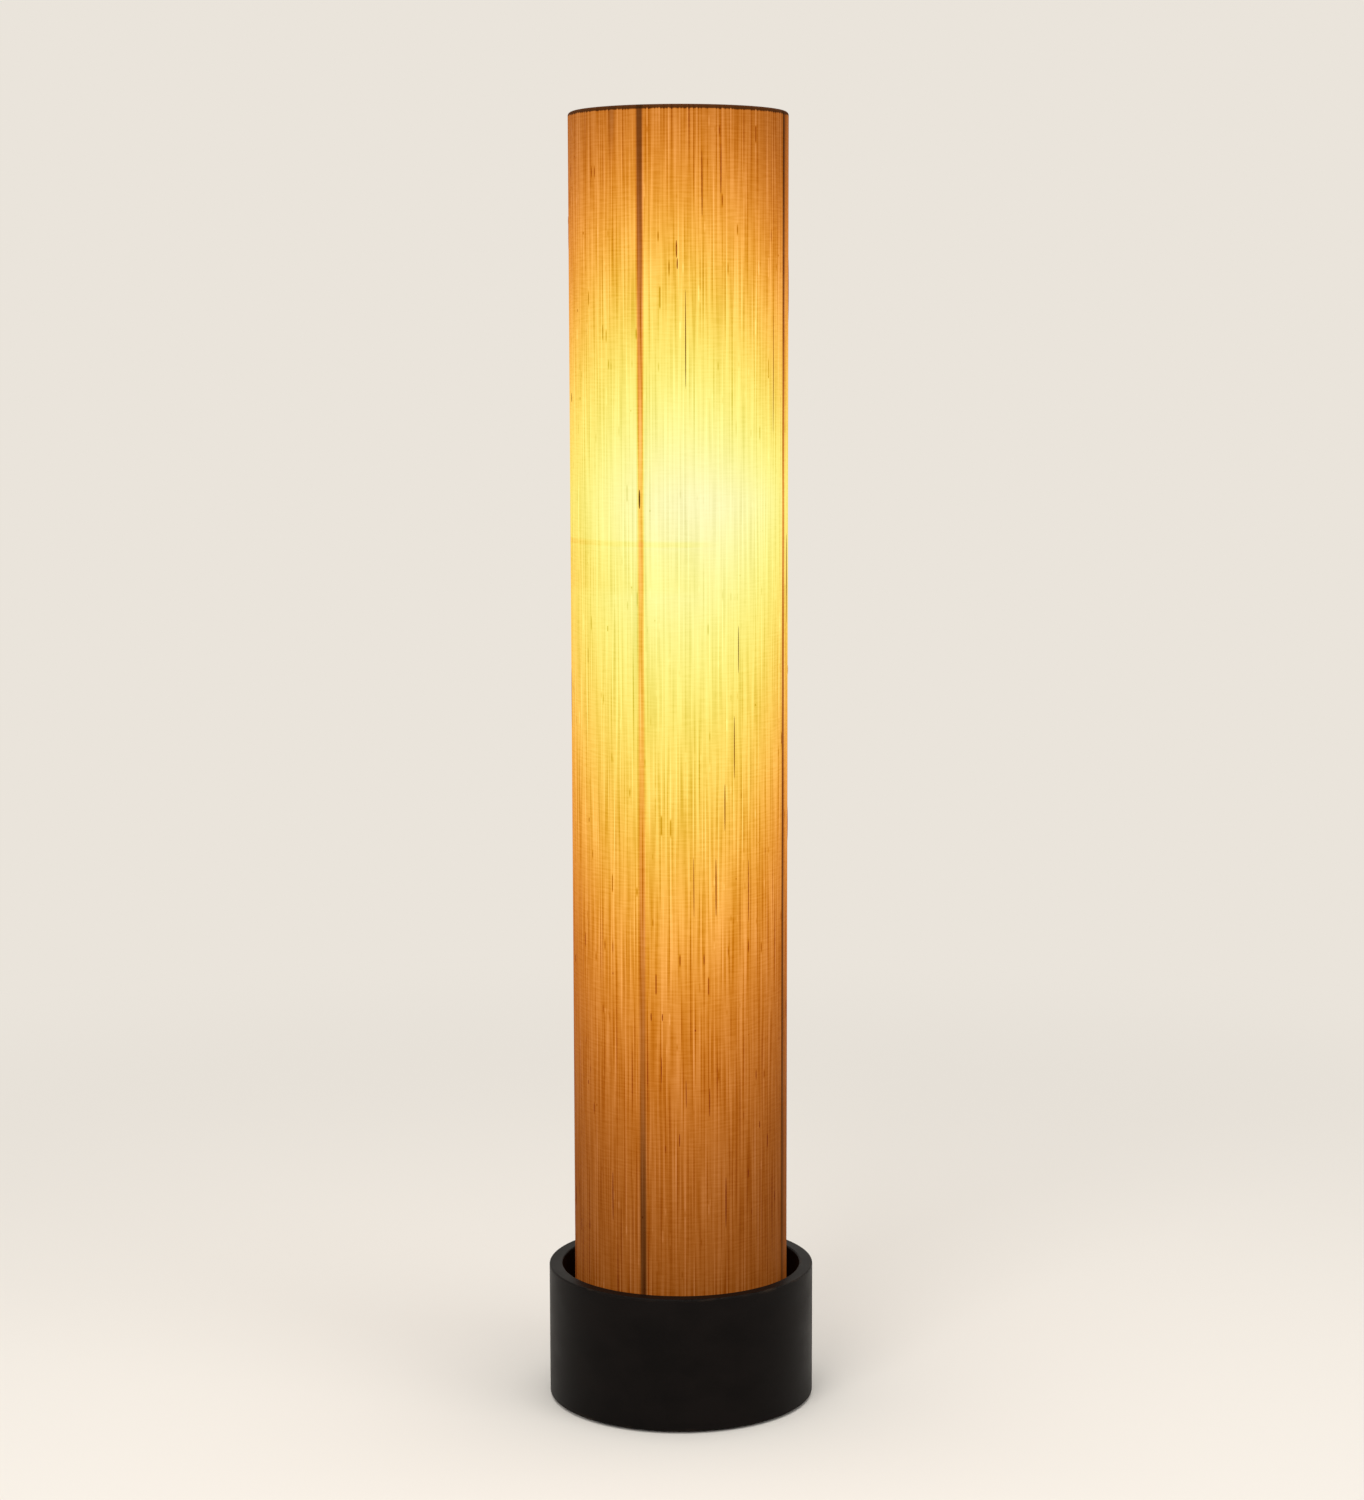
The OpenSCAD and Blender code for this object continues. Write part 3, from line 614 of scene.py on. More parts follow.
def bare_metal(name, colours, roughness, brush_mm, stain_mm=12.0):
    """A bare or plated metal: its colour wanders between two tones where it has stained, and tool
    or drawing marks of these sizes run through its gloss."""
    rough = (roughness - 0.07, roughness + 0.1)
    return clouded(name, colours, (stain_mm,) * 3, brush_mm, rough, (0.2, 0.05), Metallic=1.0)


def coated_steel(name, colours, roughness, peel_mm):
    """Steel under a baked powder coat: an even colour with a fine orange-peel surface, and dust in
    its hollows."""
    rough = (roughness - 0.06, roughness + 0.06)
    return clouded(name, colours, (30.0, 30.0, 60.0), (peel_mm,) * 3, rough, (0.35, 0.1), 0.7)


def moulded(name, colours, roughness, grain_mm, relief_mm=0.05, ior=1.5):
    """A moulded or fired body: cloudy from its flow in the mould, with a grain of this size."""
    rough = (roughness - 0.05, roughness + 0.07)
    relief = (0.3, relief_mm)
    return clouded(name, colours, (18.0,) * 3, (grain_mm,) * 3, rough, relief, IOR=ior)


def frosted_globe(bulb):
    """Opal glass, blown and powder frosted, lit: a soft even glow, a touch warmer low down where
    the neck is, and finely mottled by the frosting."""
    material, node, where = new_material("frosted_opal_glass")
    frost = grains(node, where, (1.2, 1.2, 1.2), 2.0)
    height = node("SeparateXYZ", where, out="Z")
    warm = node("MapRange", height, GLOBE[0].z, BULB_Z, 0.0, 0.93)
    tone = node("MULTIPLY_ADD", frost, 0.12, warm)
    glow = ((0.0, "E9A54C"), (0.6, "FFD27A"), (1.0, "FFEDBE"))
    return finish(
        material,
        (frost, (0.3, "B3AB98"), (0.7, "C8C0AD")),
        (frost, 0.4, 0.55),
        (frost, 0.15, 0.05),
        Emission_Color=node("ValToRGB", tone, stops=glow),
        Emission_Strength=bulb.glass_glow,
    )


def clear_bulb_glass():
    """Clear soda glass, flame worked: smooth, with faint drawn streaks."""
    material, node, where = new_material("clear_soda_glass")
    streaks = grains(node, where, (1.5, 1.5, 12.0))
    colour = (streaks, (0.3, "DDE8E6"), (0.7, "F2F7F6"))
    clear = {"Transmission_Weight": 0.9, "IOR": 1.52}
    return finish(material, colour, (streaks, 0.02, 0.08), (streaks, 0.2, 0.05), **clear)


def phosphor_rods(bulb):
    """Light-giving rods dipped in yellow phosphor gel, lit: a grainy bright yellow."""
    material, node, where = new_material("yellow_phosphor_gel")
    grain = grains(node, where, (0.5, 0.5, 0.9), 2.0)
    return finish(
        material,
        (grain, (0.3, "E0A02A"), (0.7, "F0BE50")),
        (grain, 0.4, 0.6),
        (grain, 0.4, 0.08),
        Emission_Color=node("ValToRGB", grain, stops=((0.3, "FFB83A"), (0.7, "FFE08A"))),
        Emission_Strength=bulb.rod_glow,
    )


# -------- shapes


def threaded_shell(low, high, root_r, crest_r, pitch):
    """A round-threaded skin between two heights: an outline of whole pitches, spun so that it
    climbs one pitch in a turn and meets itself, and cut level at both ends."""
    steps, per_pitch = 60, 8
    pitches = math.ceil((high - low) / pitch) + 1
    swell = (crest_r - root_r) / 2
    bm = bmesh.new()
    outline = []
    for k in range(pitches * per_pitch + 1):
        radius = root_r + swell * (1 - math.cos(2 * math.pi * k / per_pitch))
        outline.append(bm.verts.new((radius, 0.0, low - pitch + pitch * k / per_pitch)))
    edges = [bm.edges.new(pair) for pair in zip(outline, outline[1:])]
    rise = AXIS * (pitch / steps)
    bmesh.ops.spin(
        bm, geom=outline + edges, axis=AXIS, dvec=rise, angle=2 * math.pi, steps=steps
    )
    bmesh.ops.remove_doubles(bm, verts=bm.verts, dist=0.02 * MM)
    for height, side in ((low, -1.0), (high, 1.0)):
        cut = {"plane_co": AXIS * height, "plane_no": AXIS * side, "dist": 0.001 * MM}
        parts = bm.verts[:] + bm.edges[:] + bm.faces[:]
        bmesh.ops.bisect_plane(bm, geom=parts, clear_outer=True, **cut)
    return bm


def grow(bm, rim):
    """Extrudes an open rim in place. Gives its new points and edges."""
    made = bmesh.ops.extrude_edge_only(bm, edges=rim)["geom"]
    points = [v for v in made if isinstance(v, bmesh.types.BMVert)]
    known = set(points)
    edges = [e for e in made if isinstance(e, bmesh.types.BMEdge) and known.issuperset(e.verts)]
    return points, edges


def carry_on(bm, height, outline):
    """Extends the open rim at a height through an outline's (radius, height) points."""
    rim = [
        edge
        for edge in bm.edges
        if edge.is_boundary and all(abs(v.co.z - height) < 0.01 * MM for v in edge.verts)
    ]
    if not rim:
        raise RuntimeError("no open rim at this height")
    for radius, level in outline:
        points, rim = grow(bm, rim)
        for vert in points:
            flat = Vector((vert.co.x, vert.co.y, 0.0)).normalized() * radius
            vert.co = (flat.x, flat.y, level)


def outward(bm):
    """Turns the faces of an open skin of revolution away from its axis."""
    bmesh.ops.recalc_face_normals(bm, faces=bm.faces)
    side = max(bm.faces, key=lambda f: f.calc_center_median().xy.length)
    if side.normal.xy.dot(side.calc_center_median().xy) < 0:
        bmesh.ops.reverse_faces(bm, faces=bm.faces)


def add_tube(bm, points, radius, sides=12):
    """Adds a round tube along points, closed at both ends."""
    points = [Vector(p) for p in points]
    last = len(points) - 1
    ahead = [
        (points[min(k + 1, last)] - points[max(k - 1, 0)]).normalized() for k in range(last + 1)
    ]
    turned = AXIS.rotation_difference(ahead[0]).to_matrix().to_4x4()
    start = Matrix.Translation(points[0]) @ turned
    ring = bmesh.ops.create_circle(
        bm, cap_ends=True, segments=sides, radius=radius, matrix=start
    )["verts"]
    rim = list({edge for vert in ring for edge in vert.link_edges})
    for k in range(1, last + 1):
        ring, rim = grow(bm, rim)
        bend = ahead[k - 1].rotation_difference(ahead[k]).to_matrix().to_4x4()
        move = Matrix.Translation(points[k]) @ bend @ Matrix.Translation(-points[k - 1])
        bmesh.ops.transform(bm, matrix=move, verts=ring)
    bmesh.ops.edgeloop_fill(bm, edges=rim)
    bmesh.ops.recalc_face_normals(bm, faces=bm.faces)


# -------- shade


class LampClothSettings(bpy.types.PropertyGroup):
    """Sizes and colours of the shade's cloth and of the light in it."""

    cloth_colour: a_colour("Cloth colour", "Colour of the cloth in plain light", "462606")
    weak_light: a_colour("Weak light", "Colour of the cloth in the weakest light", "924F17", 0.95)
    thickness: a_number(
        "Thickness", "Thickness of the cloth", 0.55 * MM, 0.2 * MM, 1.5 * MM, unit="LENGTH"
    )
    yarn_relief: a_number(
        "Yarn relief", "How far the thickest yarns stand out", 0.22 * MM, 0, 1 * MM, unit="LENGTH"
    )
    slub_count: IntProperty(
        name="Slubs", description="Number of slubs round the back", default=100, min=0, max=600
    )
    glow_height: a_number(
        "Glow height", "Height at which the cloth is brightest", BULB_Z + 5 * MM, unit="LENGTH"
    )
    glow_peak: a_number("Glow peak", "Level of the light beside the bulb", 84, 0, 400)
    glow_everywhere: a_number("Glow everywhere", "Level of the scattered light", 0.3, 0, 20)
    glow_core: a_number(
        "Glow core", "Half height of the bright patch", 12 * MM, 1 * MM, 300 * MM, unit="LENGTH"
    )
    fade_up: a_number("Fade upwards", "Loss of light per metre towards the top", 10.4, 0, 40)
    fade_down: a_number("Fade downwards", "Loss of light per metre downwards", 7.0, 0, 40)
    front_lean: a_number(
        "Front lean", "How much less light the back gets", 0.75, high=1, subtype="FACTOR"
    )
    glow_strength: a_number("Glow strength", "Strength of the cloth's light", 0.93, 0, 5)


def cloth_bmesh(cloth, rng):
    """The tube's cloth as one strip, cut to size, wrapped round the frame, lapped and rolled at
    both ends. Gives the bmesh and the strip's flat size."""
    roll_length = math.radians(215.0) * ROLL_R
    straight = TOP_RING_Z - BOTTOM_RING_Z
    width = 2 * math.pi * CLOTH_R + LAP_WIDTH
    length = straight + 2 * roll_length
    # The yarns flatten out within this turn of the roll, and the lap within this width.
    flat_turn, lap_fade = math.radians(60.0), 2.5 * MM
    clearance = 0.05 * MM
    roll_rows, straight_rows = 8, 24
    # A ridge and a valley to each yarn.
    columns = 2 * round(width / YARN_STEP)
    rows = 2 * roll_rows + straight_rows
    # Length along the cloth at each row, closer where it rolls.
    rolled = [roll_length * k / roll_rows for k in range(roll_rows)]
    along = [roll_length + straight * k / straight_rows for k in range(straight_rows + 1)]
    along = rolled + along + [length - up for up in reversed(rolled)]
    # Each yarn has its own thickness, which drifts along it.
    yarn = [rng.uniform(0.3, 1.0) if k % 2 else 0.1 for k in range(columns + 1)]
    drift_steps = rows // 3
    drift = [[rng.uniform(0.4, 1.0) for _ in range(drift_steps + 2)] for _ in yarn]
    bm = bmesh.new()
    bmesh.ops.create_grid(bm, x_segments=columns, y_segments=rows, size=0.5)
    flat = bm.loops.layers.uv.new("cloth")
    for vert in bm.verts:
        column = round((vert.co.x + 0.5) * columns)
        row = round((vert.co.y + 0.5) * rows)
        vert.co = Vector((width * column / columns, along[row], 0.0))
    for face in bm.faces:
        for loop in face.loops:
            loop[flat].uv = loop.vert.co.xy
    for vert in bm.verts:
        across, up, _ = vert.co
        column = round(across / width * columns)
        if up < roll_length:
            roll, centre_z, side = (roll_length - up) / ROLL_R, BOTTOM_RING_Z, -1
        elif up > length - roll_length:
            roll, centre_z, side = (up - length + roll_length) / ROLL_R, TOP_RING_Z, 1
        else:
            roll, centre_z, side = 0.0, BOTTOM_RING_Z + up - roll_length, 1
        flatness = 1.0 - smooth_step(roll / flat_turn)
        # The first stretch of the strip lies over the last.
        lap = 1.0 - smooth_step((across - LAP_WIDTH) / lap_fade)
        place = (up / length) * drift_steps
        step = min(int(place), drift_steps)
        near, far = drift[column][step : step + 2]
        swell = yarn[column] * (near + (place - step) * (far - near))
        proud = lap * (cloth.thickness + clearance) + cloth.yarn_relief * swell
        out = ROLL_R - clearance + flatness * proud
        radius = WIRE_RING_R + out * math.cos(roll)
        height = centre_z + side * out * math.sin(roll)
        vert.co = at_turn(LAP_TURN + math.degrees(across / CLOTH_R), radius, height)
    bmesh.ops.recalc_face_normals(bm, faces=bm.faces)
    middle = at_turn(0, CLOTH_R, 0.6)
    front = min(bm.faces, key=lambda f: (f.calc_center_median() - middle).length)
    if front.normal.y > 0:
        bmesh.ops.reverse_faces(bm, faces=bm.faces)
    return bm, (width, length)


def slubs_bmesh(cloth, rng):
    """Thick places of the yarns, as slim spindles that lie on the cloth."""
    slubs = list(FRONT_SLUBS)
    margin = 0.04
    for _ in range(cloth.slub_count):
        turn = rng.uniform(72.0, 288.0)
        height = rng.uniform(BOTTOM_RING_Z + margin, TOP_RING_Z - margin)
        length = rng.choice((0.009, 0.02, 0.035, 0.06))
        slubs.append((turn, height, length, rng.uniform(0.3, 0.9)))
    bm = bmesh.new()
    for turn, height, length, strength in slubs:
        half_width = (0.30 + 0.48 * strength) * MM
        half_depth = (0.30 + 0.16 * strength) * MM
        size = Matrix.Diagonal((half_width, half_depth, length / 2, 1.0))
        lean = Matrix.Rotation(rng.uniform(-0.006, 0.006), 4, "Y")
        stand = Matrix.Rotation(math.radians(turn), 4, "Z")
        place = Matrix.Translation(at_turn(turn, CLOTH_R, height)) @ stand @ lean @ size
        bmesh.ops.create_uvsphere(bm, u_segments=6, v_segments=7, radius=1.0, matrix=place)
    bmesh.ops.recalc_face_normals(bm, faces=bm.faces)
    return bm


class LAMP_OT_cloth(bpy.types.Operator):
    """Makes the shade's cloth, wrapped, lapped and rolled over the rings, and its thick slubs"""

    bl_idname = "lamp.cloth"
    bl_label = "Shade cloth"

    def execute(self, context):
        cloth = context.scene.lamp_cloth
        bm, flat_size = cloth_bmesh(cloth, random.Random(11))
        node = "shade_fabric"
        piece = new_piece("shade_cloth", bm, slub_cloth(cloth), "shade", [node])
        give_wall(piece, cloth.thickness)
        bm = slubs_bmesh(cloth, random.Random(23))
        slubs = new_piece("cloth_slubs", bm, slub_yarn(cloth), "shade")
        return {"FINISHED"}


class LAMP_OT_frame(bpy.types.Operator):
    """Finishes the film and the wire frame, and adds the weld beads where its wires meet"""

    bl_idname = "lamp.frame"
    bl_label = "Wire frame and film"

    def execute(self, context):
        dress(laminating_film(context.scene.lamp_cloth), "shade_liner")
        # Drawn steel wire under a thin white powder coat: soft sheen, slightly lumpy.
        coat = coated_steel("white_powder_coated_wire", ("CFC9BC", "E4E0D6"), 0.4, 0.9)
        rings = ("top_ring", "mid_ring", "bottom_ring")
        dress(coat, *rings, "upright_front", "upright_right", "upright_rear")
        joints = (
            (WIRE_RING_R, TOP_RING_Z - WIRE_R),
            ((WIRE_RING_R + MID_RING_R) / 2, MID_RING_Z),
            (WIRE_RING_R, BOTTOM_RING_Z + WIRE_R),
        )
        bead_r = 2.05 * MM
        axes = {f"use_axis_{axis}": True for axis in "xyz"}
        rng = random.Random(5)
        bm = bmesh.new()
        for turn in UPRIGHT_TURNS:
            stand = Matrix.Rotation(math.radians(turn), 4, "Z")
            for radius, height in joints:
                verts = bmesh.ops.create_icosphere(bm, subdivisions=3, radius=bead_r)["verts"]
                for vert in verts:
                    vert.co *= rng.uniform(0.94, 1.05)
                bmesh.ops.smooth_vert(bm, verts=verts, factor=0.5, **axes)
                size = Matrix.Diagonal((rng.uniform(1.15, 1.4), 1.0, rng.uniform(0.9, 1.2), 1.0))
                place = Matrix.Translation(at_turn(turn, radius, height)) @ stand @ size
                bmesh.ops.transform(bm, matrix=place, verts=verts)
        new_piece("frame_weld_beads", bm, coat, "shade")
        return {"FINISHED"}


# -------- bulb and lampholder


class LampBulbSettings(bpy.types.PropertyGroup):
    """Light of the bulb's own parts and the pitch of its screw cap."""

    glass_glow: a_number("Glass glow", "Strength of the frosted globe's light", 0.6, 0, 10)
    rod_glow: a_number("Rod glow", "Strength of the light-giving rods' light", 1.5, 0, 10)
    thread_pitch: a_number(
        "Thread pitch", "Rise of the thread in a turn", 3.6 * MM, 2 * MM, 5 * MM, unit="LENGTH"
    )


class LAMP_OT_bulb(bpy.types.Operator):
    """Finishes the bulb and gives it a screw cap with a rolled thread"""

    bl_idname = "lamp.bulb"
    bl_label = "Bulb"

    def execute(self, context):
        bulb = context.scene.lamp_bulb
        dress(frosted_globe(bulb), "bulb_globe")
        dress(clear_bulb_glass(), "bulb_mount")
        dress(phosphor_rods(bulb), "bulb_filaments")
        # Nickel wire, drawn bright.
        wire = bare_metal("bright_nickel_wire", ("A9A59C", "CBC7BE"), 0.25, (3.0, 3.0, 0.3))
        dress(wire, "bulb_wires")
        # Vitrite, a black pressed glass: deep black and glossy, with small bubbles.
        vitrite = moulded("black_pressed_glass", ("08080B", "15151A"), 0.1, 1.5, ior=1.6)
        dress(vitrite, "bulb_insulator")
        # Tin solder, melted on by hand: dull grey and lumpy.
        solder = bare_metal("dull_tin_solder", ("8F8E8A", "B9B8B3"), 0.5, (1.2, 1.2, 1.2), 4.0)
        dress(solder, "bulb_contact")

        crest_r = CAP[1].x
        root_r = crest_r - 0.75 * MM
        collar_r = crest_r - 0.05 * MM
        bottom, top = CAP[0].z, CAP[1].z
        low, high = bottom + 5.2 * MM, top - 6.2 * MM
        foot = [(0.93 * crest_r, bottom + 4.4 * MM), (0.7 * crest_r, bottom + 2 * MM)]
        shoulder = [(collar_r - 0.3 * MM, high + 0.5 * MM), (collar_r, high + 1.0 * MM)]
        lip = [(collar_r, top - 0.3 * MM), (collar_r - 0.2 * MM, top)]
        bm = threaded_shell(low, high, root_r, crest_r, bulb.thread_pitch)
        carry_on(bm, low, foot + [(6 * MM, bottom)])
        carry_on(bm, high, shoulder + lip)
        outward(bm)
        # Brass strip, drawn, rolled to a thread and nickel plated: bright, with fine rub marks.
        nickel = bare_metal("nickel_plated_cap", ("A8A69E", "C9C7BE"), 0.28, (4.0, 4.0, 0.35))
        piece = new_piece("bulb_screw_cap", bm, nickel, "bulb", ["bulb_cap"])
        give_wall(piece, 0.3 * MM)
        return {"FINISHED"}


class LAMP_OT_holder(bpy.types.Operator):
    """Finishes the stem and the lampholder, and makes its screw shell, the lead and its cores"""

    bl_idname = "lamp.holder"
    bl_label = "Stem, lampholder and lead"

    def execute(self, context):
        # Steel tube and flange under a black powder coat.
        coat = coated_steel("black_powder_coated_steel", ("141416", "232325"), 0.45, 0.8)
        dress(coat, "stem_tube", "stem_flange")
        # Phenolic moulding: black, glossy, faintly clouded by its filler.
        phenolic = moulded("black_phenolic_moulding", ("0D0C0C", "1C1917"), 0.22, 0.8)
        dress(phenolic, "holder_cap", "holder_shell")
        # Porcelain, glazed white: bright and smooth, a little grey where the glaze is thin.
        porcelain = moulded("glazed_white_porcelain", ("D5D1C6", "EDEAE2"), 0.12, 2.5, 0.03)
        dress(porcelain, "holder_insulator")
        # Phosphor bronze strip, rolled: coppery, with rolling lines.
        bronze = bare_metal("phosphor_bronze_strip", ("9E6A40", "C78F5C"), 0.3, (6.0, 0.3, 0.3))
        dress(bronze, "holder_contact")
        # Brass, turned: yellow and stained brown in places, with tool rings up its length.
        brass = bare_metal("turned_brass", ("A07F3E", "CBAA5E"), 0.3, (4.0, 4.0, 0.35))
        dress(brass, "upper_nipple", "lower_nipple", "lower_locknut", "holder_terminal_screws")
        # Steel screws, zinc plated black: dark grey and oily.
        black = bare_metal("black_zinc_screws", ("1F1F22", "3A393B"), 0.38, (0.5, 0.5, 0.5), 3.0)
        dress(black, "flange_screws", "stem_set_screw")

        low, high = SLEEVE[0].z, SLEEVE[1].z
        outer_r = SLEEVE[1].x
        root_r = outer_r - 0.25 * MM
        # The thread runs out to the full width before each end.
        edge, run_out = 1.5 * MM, 0.7
        pitch = context.scene.lamp_bulb.thread_pitch
        bm = threaded_shell(low + edge, high - edge, root_r, outer_r, pitch)
        for end, step in ((low, edge), (high, -edge)):
            carry_on(bm, end + step, [(outer_r, end + run_out * step), (outer_r, end)])
        outward(bm)
        node = "holder_screw_shell"
        piece = new_piece("holder_threaded_shell", bm, brass, "base", [node])
        give_wall(piece, 0.2 * MM)

        # The lead's middle line is the same as in the part's source: down the stem, round a bend
        # under it and back to the terminal block. Each place is (y, z).
        lead_r = 2.5 * MM
        bend_r = 13 * MM
        low_z = LEAD[0].z + lead_r
        bend_z = low_z + bend_r
        end_y = BLOCK[0].y - 6 * MM
        pole_z = BLOCK[1].z - 8 * MM
        top_z = LEAD[1].z
        down, bend, back = 12, 12, 16
        line = [(0.0, top_z + (bend_z - top_z) * k / down) for k in range(down)]
        for k in range(bend + 1):
            a = math.pi + math.pi / 2 * k / bend
            line.append((bend_r + bend_r * math.cos(a), bend_z + bend_r * math.sin(a)))
        for k in range(1, back + 1):
            rise = smooth_step(k / back) * (pole_z - low_z)
            line.append((bend_r + (end_y - bend_r) * k / back, low_z + rise))
        bm = bmesh.new()
        add_tube(bm, [(0.0, y, z) for y, z in line], lead_r - 0.02 * MM, 20)
        # Soft white PVC, extruded: waxy, with faint waves from the cores inside.
        sheath = moulded("white_pvc_sheath", ("D3D0C7", "E6E3DB"), 0.42, 3.0, 0.1)
        new_piece("stem_lead", bm, sheath, "base", ["internal_lead"])

        # The cores, in millimetres: sideways and up from the lead's top end, and sideways and
        # along from its other end.
        core_r = 0.88 * MM
        up = ((1.2, -1.2), (1.25, -0.3), (1.7, 0.5), (2.8, 0.9), (4.5, 0.95), (7.0, 0.95))
        out = ((1.2, -1), (1.3, 0.8), (2.4, 2.4), (4.8, 4), (6.2, 5.2), (6.5, 6), (6.5, 7))
        bm = bmesh.new()
        for side in (-MM, MM):
            add_tube(bm, [(side * x, 0.0, top_z + z * MM) for x, z in up], core_r)
            add_tube(bm, [(side * x, end_y + y * MM, pole_z) for x, y in out], core_r)
        # Brown PVC, extruded thin over the strands: smooth and a little shiny.
        brown = moulded("brown_pvc_cores", ("4E2E1C", "6A422A"), 0.35, 1.5)
        new_piece("lead_core_ends", bm, brown, "base", ["lead_cores"])
        return {"FINISHED"}


# -------- base


class LampBaseSettings(bpy.types.PropertyGroup):
    """Finish of the ring base."""

    lacquer_colour: a_colour("Lacquer colour", "Colour of the ring's lacquer", "0A0706")
    # The edges' browner colour is partly rub wear and partly a painted highlight of warm light on
    # the rims.
    edge_wear: a_number(
        "Edge wear", "How far the ring's edges are rubbed", 0.35, high=1, subtype="FACTOR"
    )


class LAMP_OT_base(bpy.types.Operator):
    """Finishes the ring, its boards, blocks and screws, the feet, grommet and terminal block"""

    bl_idname = "lamp.base"
    bl_label = "Base"

    def execute(self, context):
        dress(black_lacquer(context.scene.lamp_base), "base_ring")
        dress(birch_plywood(), "floor_board")
        dress(beech_blocks(), "locating_blocks")
        dress(tempered_hardboard(), "bottom_cover")
        # Steel, zinc plated and passivated: pale blue-grey with a faint yellow haze.
        zinc = bare_metal("zinc_plated_steel", ("A5A8AC", "C9C8BC"), 0.3, (0.4, 0.4, 0.8), 2.5)
        screws = ("board_screws", "cover_screws", "terminal_screws", "terminal_fixing_screw")
        dress(zinc, *screws, "block_screws", "lower_washer")
        # Brass tube, drawn: bright yellow, with fine lines along it.
        brass = bare_metal("drawn_brass_tube", ("A9853F", "D3B062"), 0.28, (0.4, 5.0, 0.4))
        dress(brass, "terminal_tubes")
        # Natural polyamide, moulded: milky cream with a satin face.
        dress(moulded("natural_polyamide", ("CFC9B4", "E2DDCC"), 0.4, 0.9), "terminal_block")
        # Vulcanised rubber: matt, very dark grey, dusty, with a fine open grain.
        rubber = moulded("black_vulcanised_rubber", ("161514", "262422"), 0.82, 0.7, 0.15)
        dress(rubber, "foot_pads", "cord_grommet")
        return {"FINISHED"}


# -------- stage


class LampStageSettings(bpy.types.PropertyGroup):
    """Colour of the floor and strength of the studio light."""

    floor_colour: a_colour("Floor colour", "Colour of the floor and the backdrop", "EAE4DB")
    key_power: a_number("Key light", "Power of the light on the left", 42, unit="POWER")
    fill_power: a_number("Fill light", "Power of the light on the right", 16, unit="POWER")
    top_power: a_number("Top light", "Power of the light overhead", 60, unit="POWER")
    ambient: a_number("Ambient light", "Strength of the even light from all round", 0.5, 0, 2)


def seen_directly(node):
    """1 for what the camera, a mirror or clear glass shows, and 0 for light on things."""
    either = 0.0
    for name in ("Is Camera Ray", "Is Glossy Ray", "Is Transmission Ray"):
        either = node("MAXIMUM", either, node("LightPath", out=name))
    return either


def soft_light(name, place, aim, size, power):
    """A square studio light that points at a place."""
    data = bpy.data.lights.new(name, "AREA")
    data.size = size
    data.energy = power
    lamp = put(name, data)
    lamp.location = place
    lamp.rotation_euler = (Vector(aim) - Vector(place)).to_track_quat("-Z", "Y").to_euler()


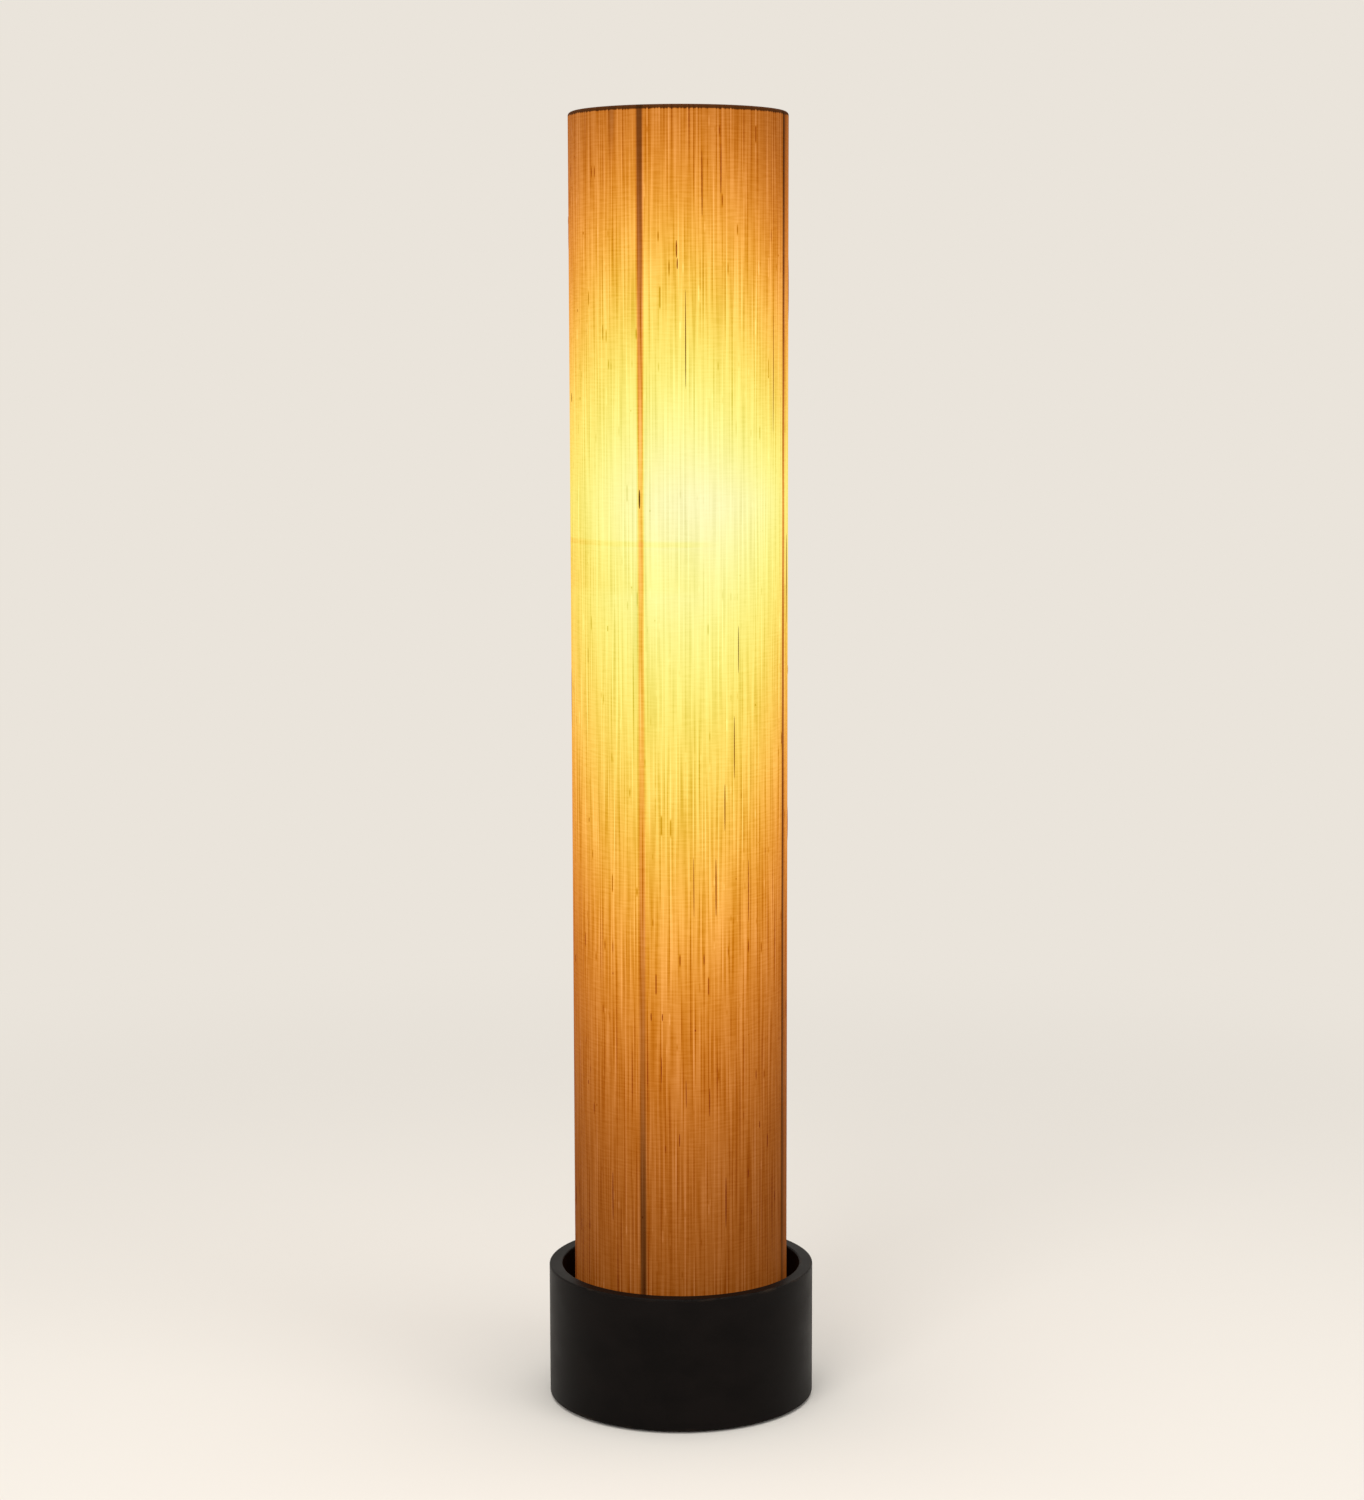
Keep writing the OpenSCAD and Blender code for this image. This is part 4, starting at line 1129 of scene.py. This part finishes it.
class LAMP_OT_stage(bpy.types.Operator):
    """Makes the pale floor, the backdrop, the studio lights and the camera"""

    bl_idname = "lamp.stage"
    bl_label = "Stage"

    def execute(self, context):
        scene = context.scene
        stage = scene.lamp_stage
        pale = (*stage.floor_colour, 1.0)
        scene.view_settings.view_transform = "Standard"

        world = scene.world = bpy.data.worlds.new("studio")
        node = clear_nodes(world)
        even = node("Background", (1.0, 1.0, 1.0, 1.0), stage.ambient)
        behind = node("Background", pale, 1.0)
        show(world, node("MixShader", seen_directly(node), even, behind))

        # Matt painted floor; away from the lamp it goes over into the backdrop's own tone.
        material, node, where = new_material("matt_painted_floor")
        far = node("MapRange.SMOOTHSTEP", node("VectorMath.LENGTH", where), 0.35, 2.2)
        shown = node("MULTIPLY", far, seen_directly(node))
        plain = node("BsdfPrincipled", Base_Color=pale, Roughness=0.9, Specular_IOR_Level=0.1)
        show(material, node("MixShader", shown, plain, node("Emission", pale, 1.0)))
        bm = bmesh.new()
        bmesh.ops.create_circle(bm, cap_ends=True, cap_tris=True, segments=64, radius=60.0)
        floor = put_mesh("studio_floor", bm, material)

        foot, middle = (0.0, 0.0, 0.0), (0.0, 0.0, 0.6)
        soft_light("key_light", (-1.2, -2.9, 1.9), middle, 1.6, stage.key_power)
        soft_light("fill_light", (2.4, -1.6, 1.6), middle, 1.6, stage.fill_power)
        soft_light("top_light", (0.0, -0.2, 3.4), foot, 2.6, stage.top_power)

        data = bpy.data.cameras.new("camera")
        data.lens = 74.04
        data.sensor_width = 36.0
        tilt, roll = math.radians(82.8), math.radians(0.13)
        camera = put("camera", data)
        camera.location = (0.003, -2.9, 0.993)
        camera.rotation_euler = (tilt, roll, 0.0)
        scene.camera = camera
        return {"FINISHED"}


class LAMP_PT_panel(bpy.types.Panel):
    """Lists the lamp's pieces and their settings"""

    bl_idname = "LAMP_PT_panel"
    bl_label = "Column floor lamp"
    bl_space_type = "VIEW_3D"
    bl_region_type = "UI"
    bl_category = "Lamp"

    def draw(self, context):
        for operator in OPERATORS:
            self.layout.operator(operator.bl_idname)
        for name in SETTINGS:
            group = getattr(context.scene, name)
            column = self.layout.column()
            for key in group.bl_rna.properties.keys():
                if key not in ("rna_type", "name"):
                    column.prop(group, key)


OPERATORS = (
    LAMP_OT_stage,
    LAMP_OT_base,
    LAMP_OT_holder,
    LAMP_OT_bulb,
    LAMP_OT_frame,
    LAMP_OT_cloth,
)
SETTINGS = {
    "lamp_cloth": LampClothSettings,
    "lamp_bulb": LampBulbSettings,
    "lamp_base": LampBaseSettings,
    "lamp_stage": LampStageSettings,
}
CLASSES = (*SETTINGS.values(), *OPERATORS, LAMP_PT_panel)


def register():
    """Registers the classes and their settings."""
    for cls in CLASSES:
        bpy.utils.register_class(cls)
    for name, group in SETTINGS.items():
        setattr(bpy.types.Scene, name, PointerProperty(type=group))


def unregister():
    """Takes the settings and classes away again."""
    for name in SETTINGS:
        delattr(bpy.types.Scene, name)
    for cls in reversed(CLASSES):
        bpy.utils.unregister_class(cls)


def main():
    """Builds everything in order."""
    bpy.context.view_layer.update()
    register()
    for operator in OPERATORS:
        group, name = operator.bl_idname.split(".")
        getattr(getattr(bpy.ops, group), name)()


if __name__ == "__main__":
    main()
